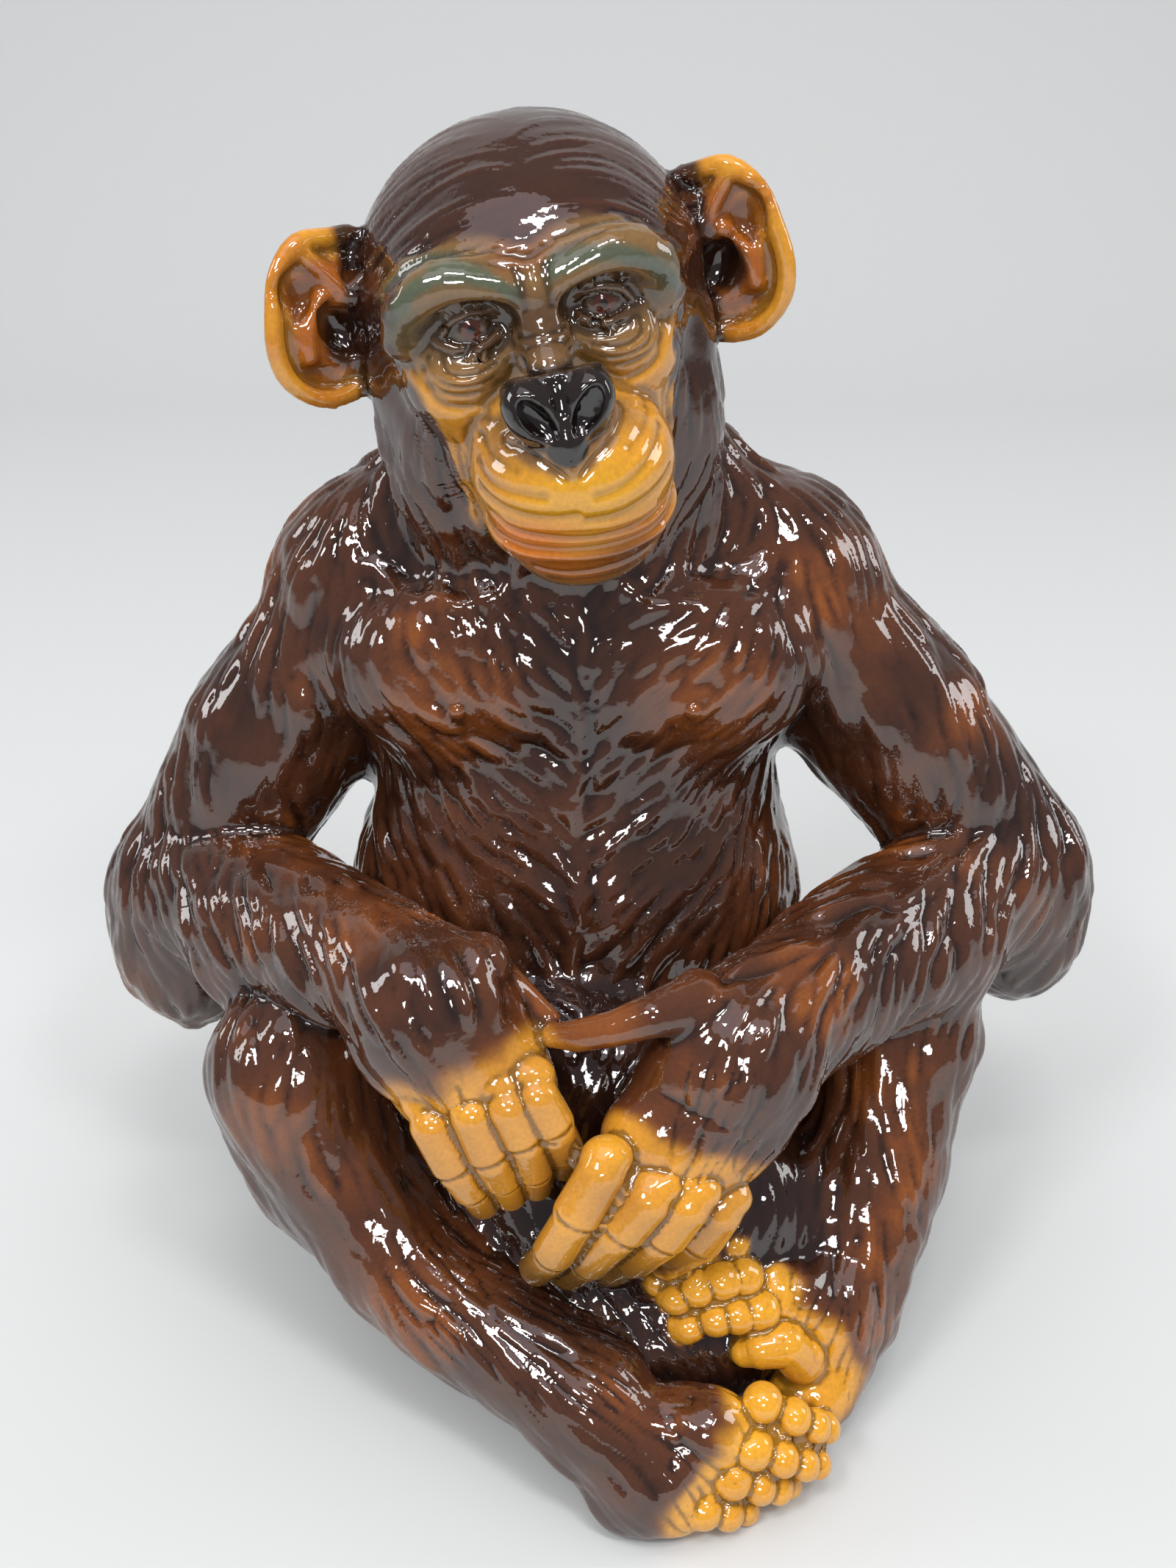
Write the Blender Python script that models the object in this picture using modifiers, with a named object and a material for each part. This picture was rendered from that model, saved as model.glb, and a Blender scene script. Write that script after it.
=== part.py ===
"""Seated chimpanzee figurine, slip-cast in one piece and glazed.

The figure is modelled as a sculptor builds it: rounded masses of clay are laid on a
skeleton and blended into one skin, folds are pressed in, and the foot of the casting is
cut flat. Sizes are in millimetres and become metres in the mesh. The chimpanzee faces
-Y, its own right side is at -X, and the origin lies on the flat underside.
"""

import math
from concurrent.futures import ThreadPoolExecutor

import bmesh
import bpy
import numpy as np
from mathutils import Matrix, Vector

MM = 0.001

# Skin quality
VOXEL = 2.2
SETTLE_ROUNDS = 2
SETTLE_STEPS = 3
RELAX = 0.35
PROBE = 0.35
LARGEST_STEP = 1.2
TRIANGLES = 11600
DETAIL_KEPT = 4e-6

# Trunk
RUMP = (74.0, 60.0, 52.0)
RUMP_CENTRE = (0.0, 26.0, 46.0)
BELLY = (72.0, 57.0, 72.0)
BELLY_CENTRE = (-4.0, -6.0, 117.0)
CHEST = (66.0, 47.0, 50.0)
CHEST_CENTRE = (-4.0, 2.0, 188.0)
PECTORAL = (35.0, 17.0, 26.0)
PECTORAL_SPREAD = 33.0
UPPER_BACK = (56.0, 38.0, 38.0)
NECK = (46.0, 38.0, 34.0)
NIPPLE_SPREAD = 33.5
NIPPLE_RADIUS = 2.4

# Arms, as joints and limb radii
SHOULDER_RADIUS = 28.0
UPPER_ARM_RADIUS = 28.0
ELBOW_RADIUS = 25.0
FOREARM_RADIUS = 24.0
WRIST_RADIUS = 19.5
RIGHT_SHOULDER = (-63.5, 8.0, 216.0)
RIGHT_ELBOW = (-128.5, -3.0, 121.0)
RIGHT_WRIST = (-44.0, -95.0, 144.0)
LEFT_SHOULDER = (57.0, 8.0, 217.0)
LEFT_ELBOW = (137.0, -3.0, 126.0)
LEFT_WRIST = (41.0, -97.0, 128.0)

# Legs, as joints and limb radii
HIP = (46.0, 24.0, 52.0)
THIGH_RADIUS = 36.0
KNEE_RADIUS = 22.0
CALF_RADIUS = 22.0
ANKLE_RADIUS = 17.0
RIGHT_KNEE = (-88.5, -74.0, 98.0)
RIGHT_CALF = (-55.0, -98.0, 46.0)
RIGHT_ANKLE = (-1.0, -136.0, 30.0)
LEFT_KNEE = (98.0, -46.0, 90.0)
LEFT_CALF = (86.5, -71.0, 55.0)
LEFT_ANKLE = (76.0, -100.0, 27.0)

# Digits
FINGER_RADIUS = 6.0
TOE_RADIUS = 5.8

# Head, in its own frame: X across, -Y out of the face, +Z to the crown
HEAD_CENTRE = (-17.0, -14.0, 304.0)
HEAD_TURN = 9.0
HEAD_LEAN = -9.0
SKULL_OFFSET = 3.6
CRANIUM = (46.8, 48.0, 45.0)
FACE_HALF_WIDTH = 34.0
EYE_SPREAD = 16.0
EYE_LEVEL = 11.0
EYE_RADIUS = 7.0
BROW_RADIUS = 6.0
MUZZLE = (26.0, 27.0, 20.5)
MOUTH = [(-22, -40, -38.5), (-15, -55, -41.5), (0, -62, -43.5), (15, -56, -43), (27, -40, -38)]
EAR_HEIGHT = 41.5
EAR_WIDTH = 29.5
EAR_RIM_RADIUS = 2.5
EAR_CUP = 26.0


def rotation(turn=0.0, nod=0.0, lean=0.0):
    """Axes of a frame turned about Z, nodded about X and leaned about Y, in degrees."""
    return np.array(
        Matrix.Rotation(math.radians(turn), 3, "Z")
        @ Matrix.Rotation(math.radians(lean), 3, "Y")
        @ Matrix.Rotation(math.radians(nod), 3, "X")
    )


class Frame:
    """A place and a direction on the figure, in which a feature is laid out."""

    def __init__(self, origin=(0, 0, 0), axes=None):
        self.origin = np.array(origin, float)
        self.axes = np.eye(3) if axes is None else np.array(axes, float)

    def at(self, x, y, z):
        return self.origin + self.axes @ np.array((x, y, z), float)

    def turned(self, x, y, z, **angles):
        return Frame(self.at(x, y, z), self.axes @ rotation(**angles))


BODY = Frame()
RING = [2 * math.pi * k / 18 for k in range(18)]


def unit(v):
    v = np.array(v, float)
    return v / np.linalg.norm(v)


def globe():
    """Vertices and faces of a ball of radius 1."""
    verts, rows = [(0.0, 0.0, 1.0)], 10
    for row in range(1, rows):
        tilt = math.pi * row / rows
        verts += [
            (math.cos(t) * math.sin(tilt), math.sin(t) * math.sin(tilt), math.cos(tilt))
            for t in RING
        ]
    verts.append((0.0, 0.0, -1.0))
    n = len(RING)
    faces = [(0, 1 + k, 1 + (k + 1) % n) for k in range(n)]
    for row in range(rows - 2):
        top = 1 + row * n
        faces += [
            (top + k, top + n + k, top + n + (k + 1) % n, top + (k + 1) % n)
            for k in range(n)
        ]
    last, base = len(verts) - 1, 1 + (rows - 2) * n
    faces += [(last, base + (k + 1) % n, base + k) for k in range(n)]
    return np.array(verts), faces


def arc(points, count=4):
    """A smooth run of points through the given ones."""
    p = np.array(points, float)
    p = np.vstack([2 * p[0] - p[1], p, 2 * p[-1] - p[-2]])
    made = []
    for i in range(1, len(p) - 2):
        for k in range(count):
            t = k / count
            made.append(
                0.5
                * (
                    2 * p[i]
                    + (p[i + 1] - p[i - 1]) * t
                    + (2 * p[i - 1] - 5 * p[i] + 4 * p[i + 1] - p[i + 2]) * t**2
                    + (3 * p[i] - p[i - 1] - 3 * p[i + 1] + p[i + 2]) * t**3
                )
            )
    made.append(p[-2])
    return made


class Ball:
    """An ellipsoid of clay with half sizes along the axes of its frame."""

    def __init__(self, frame, centre, radii, **angles):
        self.frame = frame.turned(*centre, **angles)
        self.radii = np.array(radii, float)
        reach = np.sqrt(((self.frame.axes * self.radii) ** 2).sum(1))
        self.low = self.frame.origin - reach
        self.high = self.frame.origin + reach

    def distance(self, points):
        local = (points - self.frame.origin) @ self.frame.axes
        a = np.linalg.norm(local / self.radii, axis=1)
        b = np.linalg.norm(local / self.radii**2, axis=1)
        return a * (a - 1) / np.maximum(b, 1e-6)

    def pieces(self):
        verts, faces = globe()
        return [(verts * self.radii @ self.frame.axes.T + self.frame.origin, faces)]


class Roll:
    """A roll of clay along joints, with its own radius at each."""

    def __init__(self, points, radii):
        self.points = [np.array(p, float) for p in points]
        self.radii = list(radii) if np.ndim(radii) else [radii] * len(points)
        reach = max(self.radii)
        self.low = np.min(self.points, axis=0) - reach
        self.high = np.max(self.points, axis=0) + reach

    def distance(self, points):
        nearest = None
        for i in range(len(self.points) - 1):
            a, b = self.points[i], self.points[i + 1]
            along = b - a
            share = np.clip((points - a) @ along / (along @ along), 0, 1)
            gap = np.linalg.norm(points - a - share[:, None] * along, axis=1)
            gap -= self.radii[i] + share * (self.radii[i + 1] - self.radii[i])
            nearest = gap if nearest is None else np.minimum(nearest, gap)
        return nearest

    def pieces(self):
        verts, faces = globe()
        made = [(verts * r + p, faces) for p, r in zip(self.points, self.radii)]
        for i in range(len(self.points) - 1):
            a, b = self.points[i], self.points[i + 1]
            turn = Vector(b - a).to_track_quat("Z", "Y").to_matrix()
            round_about = [(math.cos(t), math.sin(t), 0.0) for t in RING]
            ring = np.array(round_about) @ np.array(turn).T
            wall = np.vstack([a + ring * self.radii[i], b + ring * self.radii[i + 1]])
            n = len(RING)
            sides = [(k, (k + 1) % n, n + (k + 1) % n, n + k) for k in range(n)]
            caps = [tuple(range(n))[::-1], tuple(range(n, 2 * n))]
            made.append((wall, sides + caps))
        return made


class Clay:
    """The figure as steps: masses added or pressed in, and lines drawn on the skin."""

    def __init__(self):
        self.steps = []

    def add(self, shape, blend=3.0):
        self.steps.append(("add", shape, blend, 0.0))

    def press(self, shape, blend=3.0):
        self.steps.append(("press", shape, blend, 0.0))

    def line(self, points, width, depth):
        """A fold along points on the skin: a groove, or a ridge where depth is below 0."""
        settled = np.array(points, float)
        for _ in range(6):
            settled = self.pull(settled, 4.0)
        self.steps.append(("line", Roll(settled, 0.0), width, depth))

    def slab(self, points):
        """Signed distance of points that lie close together in height."""
        value = np.full(len(points), 50.0)
        floor, top = points.min(0), points.max(0)
        for kind, shape, blend, depth in self.steps:
            reach = 3.0 * blend if kind == "line" else 8.0 + blend
            low, high = shape.low - reach, shape.high + reach
            if (low > top).any() or (high < floor).any():
                continue
            near = np.nonzero(((points > low) & (points < high)).all(1))[0]
            if not len(near):
                continue
            gap = shape.distance(points[near])
            old = value[near]
            if kind == "line":
                value[near] = old + depth * np.exp(-((gap / blend) ** 2))
            elif kind == "add":
                mix = np.maximum(blend - np.abs(old - gap), 0) / blend
                value[near] = np.minimum(old, gap) - mix**2 * blend / 4
            else:
                mix = np.maximum(blend - np.abs(old + gap), 0) / blend
                value[near] = np.maximum(old, -gap) + mix**2 * blend / 4
        return value

    def field(self, points):
        """Signed distance to the skin at each point, below 0 inside."""
        order = np.argsort(np.round(points[:, 2] / 8) * 4096 + points[:, 0])
        parts = np.array_split(order, max(1, len(points) // 3000))
        value = np.empty(len(points))
        with ThreadPoolExecutor(4) as pool:
            for part, found in zip(parts, pool.map(self.slab, [points[p] for p in parts])):
                value[part] = found
        return value

    def slope(self, points):
        """The direction out of the clay at each point, and how steep the field is."""
        corners = np.array([(1, -1, -1), (-1, -1, 1), (-1, 1, -1), (1, 1, 1)], float)
        probes = (points[None] + corners[:, None] * PROBE).reshape(-1, 3)
        values = self.field(probes).reshape(4, -1)
        slope = np.einsum("kn,kc->nc", values, corners) / (4 * PROBE)
        length = np.maximum(np.linalg.norm(slope, axis=1), 0.25)
        return slope / length[:, None], length, values.mean(0)

    def pull(self, points, largest):
        """Points moved onto the skin, by two short steps along the same direction."""
        out, steep, off = self.slope(points)
        points = points - out * np.clip(off / steep, -largest, largest)[:, None]
        off = self.field(points)
        return points - out * np.clip(off / steep, -largest, largest)[:, None]


def largest_island(mesh):
    """Keeps the outer skin and removes any shell enclosed in it."""
    bm = bmesh.new()
    bm.from_mesh(mesh)
    bm.verts.ensure_lookup_table()
    left = set(bm.verts)
    islands = []
    while left:
        start = left.pop()
        island = {start}
        stack = [start]
        while stack:
            for edge in stack.pop().link_edges:
                for vert in edge.verts:
                    if vert in left:
                        left.discard(vert)
                        island.add(vert)
                        stack.append(vert)
        islands.append(island)
    islands.sort(key=len)
    for island in islands[:-1]:
        bmesh.ops.delete(bm, geom=list(island), context="VERTS")
    bm.to_mesh(mesh)
    bm.free()


def remeshed(mesh, voxel):
    """The mesh as one even skin of quads."""
    holder = bpy.data.objects.new("rough_skin", mesh)
    bpy.context.scene.collection.objects.link(holder)
    remesh = holder.modifiers.new("Even", "REMESH")
    remesh.mode = "VOXEL"
    remesh.voxel_size = voxel
    graph = bpy.context.evaluated_depsgraph_get()
    made = bpy.data.meshes.new_from_object(holder.evaluated_get(graph))
    bpy.data.objects.remove(holder)
    bpy.data.meshes.remove(mesh)
    largest_island(made)
    return made


def settle(mesh, clay, steps=SETTLE_STEPS):
    """Pulls the even skin onto the blended clay, and keeps its vertices evenly spread."""
    points = np.empty(len(mesh.vertices) * 3, np.float32)
    mesh.vertices.foreach_get("co", points)
    points = points.reshape(-1, 3).astype(float)
    ends = np.empty(len(mesh.edges) * 2, np.int32)
    mesh.edges.foreach_get("vertices", ends)
    near, far = np.hstack([ends[::2], ends[1::2]]), np.hstack([ends[1::2], ends[::2]])
    count = np.bincount(near, minlength=len(points))[:, None]
    for step in range(steps):
        if step:
            sums = [np.bincount(near, points[far, k], len(points)) for k in range(3)]
            points += (np.column_stack(sums) / count - points) * RELAX
        points = clay.pull(points, LARGEST_STEP)
    mesh.vertices.foreach_set("co", points.astype(np.float32).ravel())
    mesh.update()


def skin(clay, voxel, rounds=SETTLE_ROUNDS):
    """One closed mesh of the clay, in millimetres."""
    verts, faces, count = [], [], 0
    for kind, shape, _, _ in clay.steps:
        if kind != "add":
            continue
        for points, polygons in shape.pieces():
            verts.append(points)
            faces += [[count + k for k in polygon] for polygon in polygons]
            count += len(points)
    mesh = bpy.data.meshes.new("figurine")
    mesh.from_pydata(np.vstack(verts), [], faces)
    mesh = remeshed(mesh, voxel)
    for _ in range(rounds):
        settle(mesh, clay)
        mesh = remeshed(mesh, voxel)
    settle(mesh, clay)
    return mesh


def trunk(clay):
    """Rump, belly, chest and back."""
    clay.add(Ball(BODY, RUMP_CENTRE, RUMP), 4)
    clay.add(Ball(BODY, BELLY_CENTRE, BELLY), 18)
    clay.add(Ball(BODY, CHEST_CENTRE, CHEST), 22)
    clay.add(Ball(BODY, (-4, 22, 212), UPPER_BACK), 20)
    clay.add(Ball(BODY, (-2, 34, 112), (60, 34, 72)), 20)
    clay.add(Ball(BODY, (-8, 2, 246), NECK), 18)
    for side in (-1, 1):
        centre = (-4 + side * PECTORAL_SPREAD, -28, 208)
        clay.add(Ball(BODY, centre, PECTORAL, lean=side * 12), 12)
        clay.add(Ball(BODY, (-3 + side * 32, 46, 202), (22, 14, 34), lean=side * -14), 14)
        slope = [(-8 + side * 24, 4, 262), (-5 + side * 49, 7, 237)]
        clay.add(Roll(slope, [18, 20]), 14)
        clay.add(Ball(BODY, (side * 31, 46, 40), (36, 38, 38)), 6)


def trunk_folds(clay):
    """The grooves of breast, belly and spine, the breast's lower edges and the nipples."""
    clay.line([(-5, 60, 236), (-3, 70, 200), (-2, 70, 150), (-1, 74, 100)], 6.0, 2.0)
    clay.line([(-2, -60, 236), (-1, -60, 215), (0, -60, 190)], 2.6, 1.4)
    clay.line([(0, -60, 190), (3, -66, 150), (8, -68, 120)], 2.4, 1.0)
    for side in (-1, 1):
        edge = [(8, -56, 193), (26, -58, 187), (46, -54, 190), (62, -40, 202)]
        clay.line([(-4 + side * x, y, z) for x, y, z in edge], 4.5, 0.9)
        nipple = np.array((-3.5 + side * NIPPLE_SPREAD, -52.0, 203.0))
        for _ in range(6):
            nipple = clay.pull(nipple[None], 4.0)[0]
        ring = [
            nipple + (math.cos(a) * 3.6, 0, math.sin(a) * 3.6)
            for a in np.linspace(0, 2 * math.pi, 9)
        ]
        clay.add(Ball(Frame(nipple), (0, 0, 0), [NIPPLE_RADIUS] * 3), 0.8)
        clay.line(ring, 0.8, -0.7)


def arms(clay):
    """Upper arms, elbows and forearms, each with the muscle and hair that thicken it."""
    for side, shoulder, elbow, wrist in (
        (-1, np.array(RIGHT_SHOULDER), np.array(RIGHT_ELBOW), np.array(RIGHT_WRIST)),
        (1, np.array(LEFT_SHOULDER), np.array(LEFT_ELBOW), np.array(LEFT_WRIST)),
    ):
        clay.add(Ball(BODY, shoulder, (SHOULDER_RADIUS - 1, 30, 34), lean=side * 35), 18)
        radii = [UPPER_ARM_RADIUS - 1, UPPER_ARM_RADIUS + 1, ELBOW_RADIUS - 1]
        middle = (shoulder + elbow) / 2 + (side * 1.5 - 0.5, 0.0, 1.0)
        upper = [shoulder, middle, elbow + (-side * 2.0, 4.0, 2.0)]
        clay.add(Roll(upper, radii), 9)
        bulge = elbow * 0.55 + wrist * 0.45 + (side * 1.0, 2.0, -1.0)
        radii = [ELBOW_RADIUS, FOREARM_RADIUS, WRIST_RADIUS + side]
        clay.add(Roll([elbow, bulge, wrist], radii), 4)
        fringe = elbow + (2.0 * side - 1.5, -4.0, -16.5 + 1.5 * side)
        clay.add(Ball(BODY, fringe, (25, 24, 34 - 2 * side)), 8)
        clay.add(Ball(BODY, elbow * 0.6 + wrist * 0.4 + (0, 0, -9), (28, 24, 22)), 8)


def legs(clay):
    """Thighs out to raised knees, and shins that cross in front."""
    for side, knee, calf, ankle in (
        (-1, np.array(RIGHT_KNEE), np.array(RIGHT_CALF), np.array(RIGHT_ANKLE)),
        (1, np.array(LEFT_KNEE), np.array(LEFT_CALF), np.array(LEFT_ANKLE)),
    ):
        hip = np.array((side * HIP[0], *HIP[1:]))
        clay.add(Roll([hip, knee], [THIGH_RADIUS, KNEE_RADIUS]), 10)
        clay.add(Ball(BODY, knee, (KNEE_RADIUS + 1, KNEE_RADIUS, KNEE_RADIUS + 3)), 6)
        shin = arc([knee, calf, ankle], 3)
        calf_radius = CALF_RADIUS + side * 2
        radii = np.interp(
            np.linspace(0, 1, len(shin)), (0, 0.5, 1), (KNEE_RADIUS, calf_radius, ANKLE_RADIUS)
        )
        clay.add(Roll(shin, radii), 8)
    clay.add(Ball(BODY, (-76, -73, 65), (28, 24, 34), lean=-32), 14)


def digit(clay, joints, radius, taper=0.10, inward=(0.0, 1.3, 0.0)):
    """A finger: one sausage for each bone, the next one slimmer and coming from under it."""
    joints = [np.array(j, float) + np.array(inward) * i for i, j in enumerate(joints)]
    for i in range(len(joints) - 1):
        size = radius * (1 - taper * i)
        end = joints[i + 1] - unit(joints[i + 1] - joints[i]) * size * 0.45
        clay.add(Roll([joints[i], end], [size * 0.97, size]), 0.4)


def hands(clay):
    """Both hands hang between the shins, their fingers curled and the thumbs meeting."""
    # Right hand: the back of a loose fist, seen from the front.
    wrist = np.array(RIGHT_WRIST)
    clay.add(Ball(Frame((-39, -101, 134)), (0, 0, 0), (23, 18, 24), lean=-26), 12)
    clay.add(Ball(Frame((-28, -107, 119)), (0, 0, 0), (20, 14, 19), lean=-20), 10)
    bones = [
        [(-41.6, -119, 117), (-35.2, -122, 102.6), (-31.2, -120, 92), (-29.0, -114, 80)],
        [(-30.6, -120, 121.5), (-25.7, -123, 107.6), (-22.7, -120, 96), (-21.5, -114, 83)],
        [(-21.0, -120, 124), (-16.4, -122, 112.7), (-14.4, -119, 98.2), (-14.5, -112, 85)],
        [(-13.4, -118, 126), (-8.6, -120, 115), (-6.1, -116, 102.5), (-6.3, -109, 89.6)],
    ]
    for joints in bones:
        digit(clay, joints, FINGER_RADIUS + 0.1)
        heading = unit(np.array(joints[0]) - np.array(joints[1]))
        knuckle = np.array(joints[0]) + heading * 4.5 + (0, 3.5, 0)
        clay.add(Ball(BODY, knuckle, (6.6, 5.6, 5.0)), 1.4)
    thumb = [wrist + (16, 0, 8), (-25, -93, 148), (-17, -95, 140.5), (-10.5, -98, 136.5)]
    clay.add(Roll(thumb, [8.5, 5.4, 4.4, 3.0]), 2.5)

    # Left hand: the broad back of the hand, with straighter fingers that reach the shin.
    wrist = np.array(LEFT_WRIST)
    clay.add(Ball(Frame((35, -104, 114)), (0, 0, 0), (24, 17, 25), lean=30), 12)
    clay.add(Ball(Frame((24, -112, 103)), (0, 0, 0), (22, 14, 17), lean=34), 5)
    bones = [
        [(3.5, -127, 108), (-4.1, -131, 93.0), (-10.2, -129, 76.5), (-15, -121, 62)],
        [(16, -128, 99), (7.6, -131, 88), (-0.5, -125, 70), (-6.0, -117, 56)],
        [(26.5, -127, 96), (19.5, -128, 83), (12.0, -120, 66), (5.0, -112, 52)],
        [(36, -121, 88), (30.5, -120, 74), (22, -112, 57), (16, -106, 47)],
    ]
    for k, joints in enumerate(bones):
        digit(clay, joints, FINGER_RADIUS + 0.7)
        heading = unit(np.array(joints[0]) - np.array(joints[1]))
        knuckle = np.array(joints[0]) + heading * 3.5 + (0, 2.0, 0)
        clay.add(Ball(BODY, knuckle, (7.0 + 0.8 * (k > 0), 6.2, 5.6)), 1.4)
    thumb = [wrist + (-12, -2, 14), (17, -107, 144.5), (7, -108, 141), (-3, -106, 137)]
    thumb.append((-9, -104, 135.5))
    clay.add(Roll(thumb, [9, 6.0, 4.8, 4.4, 3.4]), 2.5)


def feet(clay):
    """The right foot lies in front on its outer edge, the left foot stands behind it."""
    ankle = np.array(RIGHT_ANKLE)
    heel = np.array((14.0, -147.0, 16.0))
    clay.add(Roll([ankle, heel], [ANKLE_RADIUS, 16]), 6)
    clay.add(Ball(Frame((28, -142, 19)), (0, 0, 0), (22, 13, 18), lean=-35), 7)
    clay.add(Ball(Frame((20, -151, 8)), (0, 0, 0), (20, 11, 9)), 5)
    clay.add(Ball(Frame((51, -137, 17)), (0, 0, 0), (13, 10.5, 13), lean=-35), 4)
    rows = [
        [(49.0, -140, 34.0), (58.0, -142, 30.6), (64.4, -141, 25.6), (68.5, -137, 19.6)],
        [(46.5, -148, 24.6), (54.4, -149, 21.8), (61.0, -147.5, 17.6), (65.7, -143, 11.8)],
        [(40.4, -152, 17.0), (48.2, -151.5, 13.4), (53.8, -149, 9.4), (57.6, -144.5, 5.4)],
        [(32.2, -156, 9.4), (39.0, -155, 6.8), (44.6, -151, 3.2)],
    ]
    for bumps in rows:
        for i, bump in enumerate(bumps):
            size = TOE_RADIUS - 0.45 * i
            clay.add(Ball(BODY, bump, (size - 0.6 * (i > 0), size, size), lean=-20), 0.9)

    ankle = np.array(LEFT_ANKLE)
    heel = np.array((67.0, -118.0, 14.0))
    clay.add(Roll([ankle, heel], [ANKLE_RADIUS - 1, 13]), 6)
    clay.add(Roll([ankle + (-4, -4, 6), (55, -106, 40)], [16, 12]), 5)
    clay.add(Ball(Frame((39, -103, 44)), (0, 0, 0), (17, 9, 11), lean=12), 4)
    rows = [
        [(42.0, -103, 58.5), (34.0, -106, 57.0), (26.5, -109, 55.5), (20.5, -111, 52.5)],
        [(44.7, -111, 52.6), (38.5, -114, 54.0), (31.3, -116, 52.7), (25.3, -117, 50.3)],
        [(48.9, -117, 45.2), (43.0, -119, 45.4), (36.8, -120, 45.0), (29.2, -120.5, 42.6)],
    ]
    for bumps in rows:
        for i, bump in enumerate(bumps):
            size = TOE_RADIUS + 0.3 - 0.35 * i
            clay.add(Ball(BODY, bump, (size, size, size - 0.7)), 0.8)
    big = [(66, -116, 20), (62, -120, 29), (57, -122, 36.5), (50, -123.5, 36.5), (45.5, -123, 34.5)]
    clay.add(Roll(big, [8.0, 7.0, 6.4, 5.6, 4.2]), 1.5)


def lap(clay):
    """The clay left between hands, belly and shins, where a mould can't reach."""
    clay.add(Ball(BODY, (-6, -66, 84), (46, 34, 40)), 8)
    clay.add(Ball(BODY, (16, -78, 48), (62, 36, 36)), 8)
    clay.add(Ball(BODY, (22, -100, 24), (46, 27, 25)), 6)
    clay.add(Ball(BODY, (0, -24, 22), (66, 80, 28)), 10)


def head_frame():
    return Frame(HEAD_CENTRE, rotation(turn=HEAD_TURN, lean=HEAD_LEAN))


def skull(clay, head):
    """Cranium, cheeks, jaw and the side whiskers that run into the neck."""
    off = SKULL_OFFSET
    clay.add(Ball(head, (off, 6, 6), CRANIUM), 10)
    clay.add(Ball(head, (off, 14, -14), (43, 36, 36)), 14)
    clay.add(Ball(head, (0.5, -24, 12), (FACE_HALF_WIDTH, 20, 25)), 12)
    clay.add(Ball(head, (0, -18, -14), (33, 22, 28)), 10)
    for side in (-1, 1):
        whisker = (off + side * 34 - 1, -4, -28)
        clay.add(Ball(head, whisker, (13, 20, 30), lean=side * 4), 9)
        clay.add(Ball(head, (side * 21, -31, -3), (13, 12, 13)), 7)
    clay.add(Ball(head, (2, -2, -44), (36, 28, 18)), 10)


def brow(clay, head):
    """The two broad arched ridges over the eyes, with the frown between them."""
    for side in (-1, 1):
        arch = [(34, -35, 10), (30, -40, 19), (20, -43.5, 23), (9, -45, 20), (2, -46, 15)]
        points = arc([head.at(side * x, y, z) for x, y, z in arch], 3)
        radii = np.interp(np.linspace(0, 1, len(points)), (0, 0.3, 1), (4, BROW_RADIUS, 5))
        clay.add(Roll(points, radii), 6)


def muzzle(clay, head):
    """Upper lip, lower lip and chin."""
    clay.add(Ball(head, (3, -38.5, -27), MUZZLE), 6)
    clay.add(Ball(head, (3.5, -35, -41), (25.0, 25, 13.5)), 5)
    clay.add(Ball(head, (3, -41, -48.5), (17, 15, 10.5)), 5)


def nose(clay, head):
    """The bridge and the two broad wings that meet in a heart."""
    clay.add(Roll([head.at(0, -42.5, 11), head.at(0, -51, 1)], [4.5, 6.0]), 7)
    clay.add(Ball(head, (0, -57, -8.5), (11.0, 7.5, 10.5)), 2.5)
    for side in (-1, 1):
        wing = (side * 6.9, -58.5, -6.0)
        clay.add(Ball(head, wing, (6.6, 8.0, 8.6), lean=side * 22), 2.0)
    clay.add(Ball(head, (0, -61.0, -14.5), (4.6, 5.4, 5.4)), 3.0)
    for side in (-1, 1):
        hole = (side * 6.2, -66.6, -6.6)
        clay.press(Ball(head, hole, (3.4, 5.4, 7.0), lean=side * 34), 1.2)
    clay.line([head.at(0, -64, 3), head.at(0, -68, -4)], 1.6, 1.5)


def eyes(clay, head):
    """Sockets, eyeballs, the lids around them and the bags below."""
    for side in (-1, 1):
        bag = (side * 18.5, -36.5, 0.5)
        clay.add(Ball(head, bag, (12.0, 8.5, 8.0), lean=side * -6), 2.5)
        eye = head.turned(side * EYE_SPREAD, -41.5, EYE_LEVEL, lean=side * 8)
        clay.press(Ball(eye, (0, -4.6, 0.6), (10.8, 6.2, 6.8)), 3)
        clay.add(Ball(eye, (0, 5.2, 0), [EYE_RADIUS] * 3), 1.0)
        for lid, lift in ((-1, 4.2), (1, 4.7)):
            edge = [(-8.2, 1.5, -0.3), (-5.2, -1.2, lid * lift * 0.72), (0, -2.5, lid * lift)]
            edge += [(5.2, -1.2, lid * lift * 0.72), (8.2, 1.5, -0.3)]
            clay.add(Roll(arc([eye.at(*e) for e in edge], 2), 1.15), 1.2)


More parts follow.
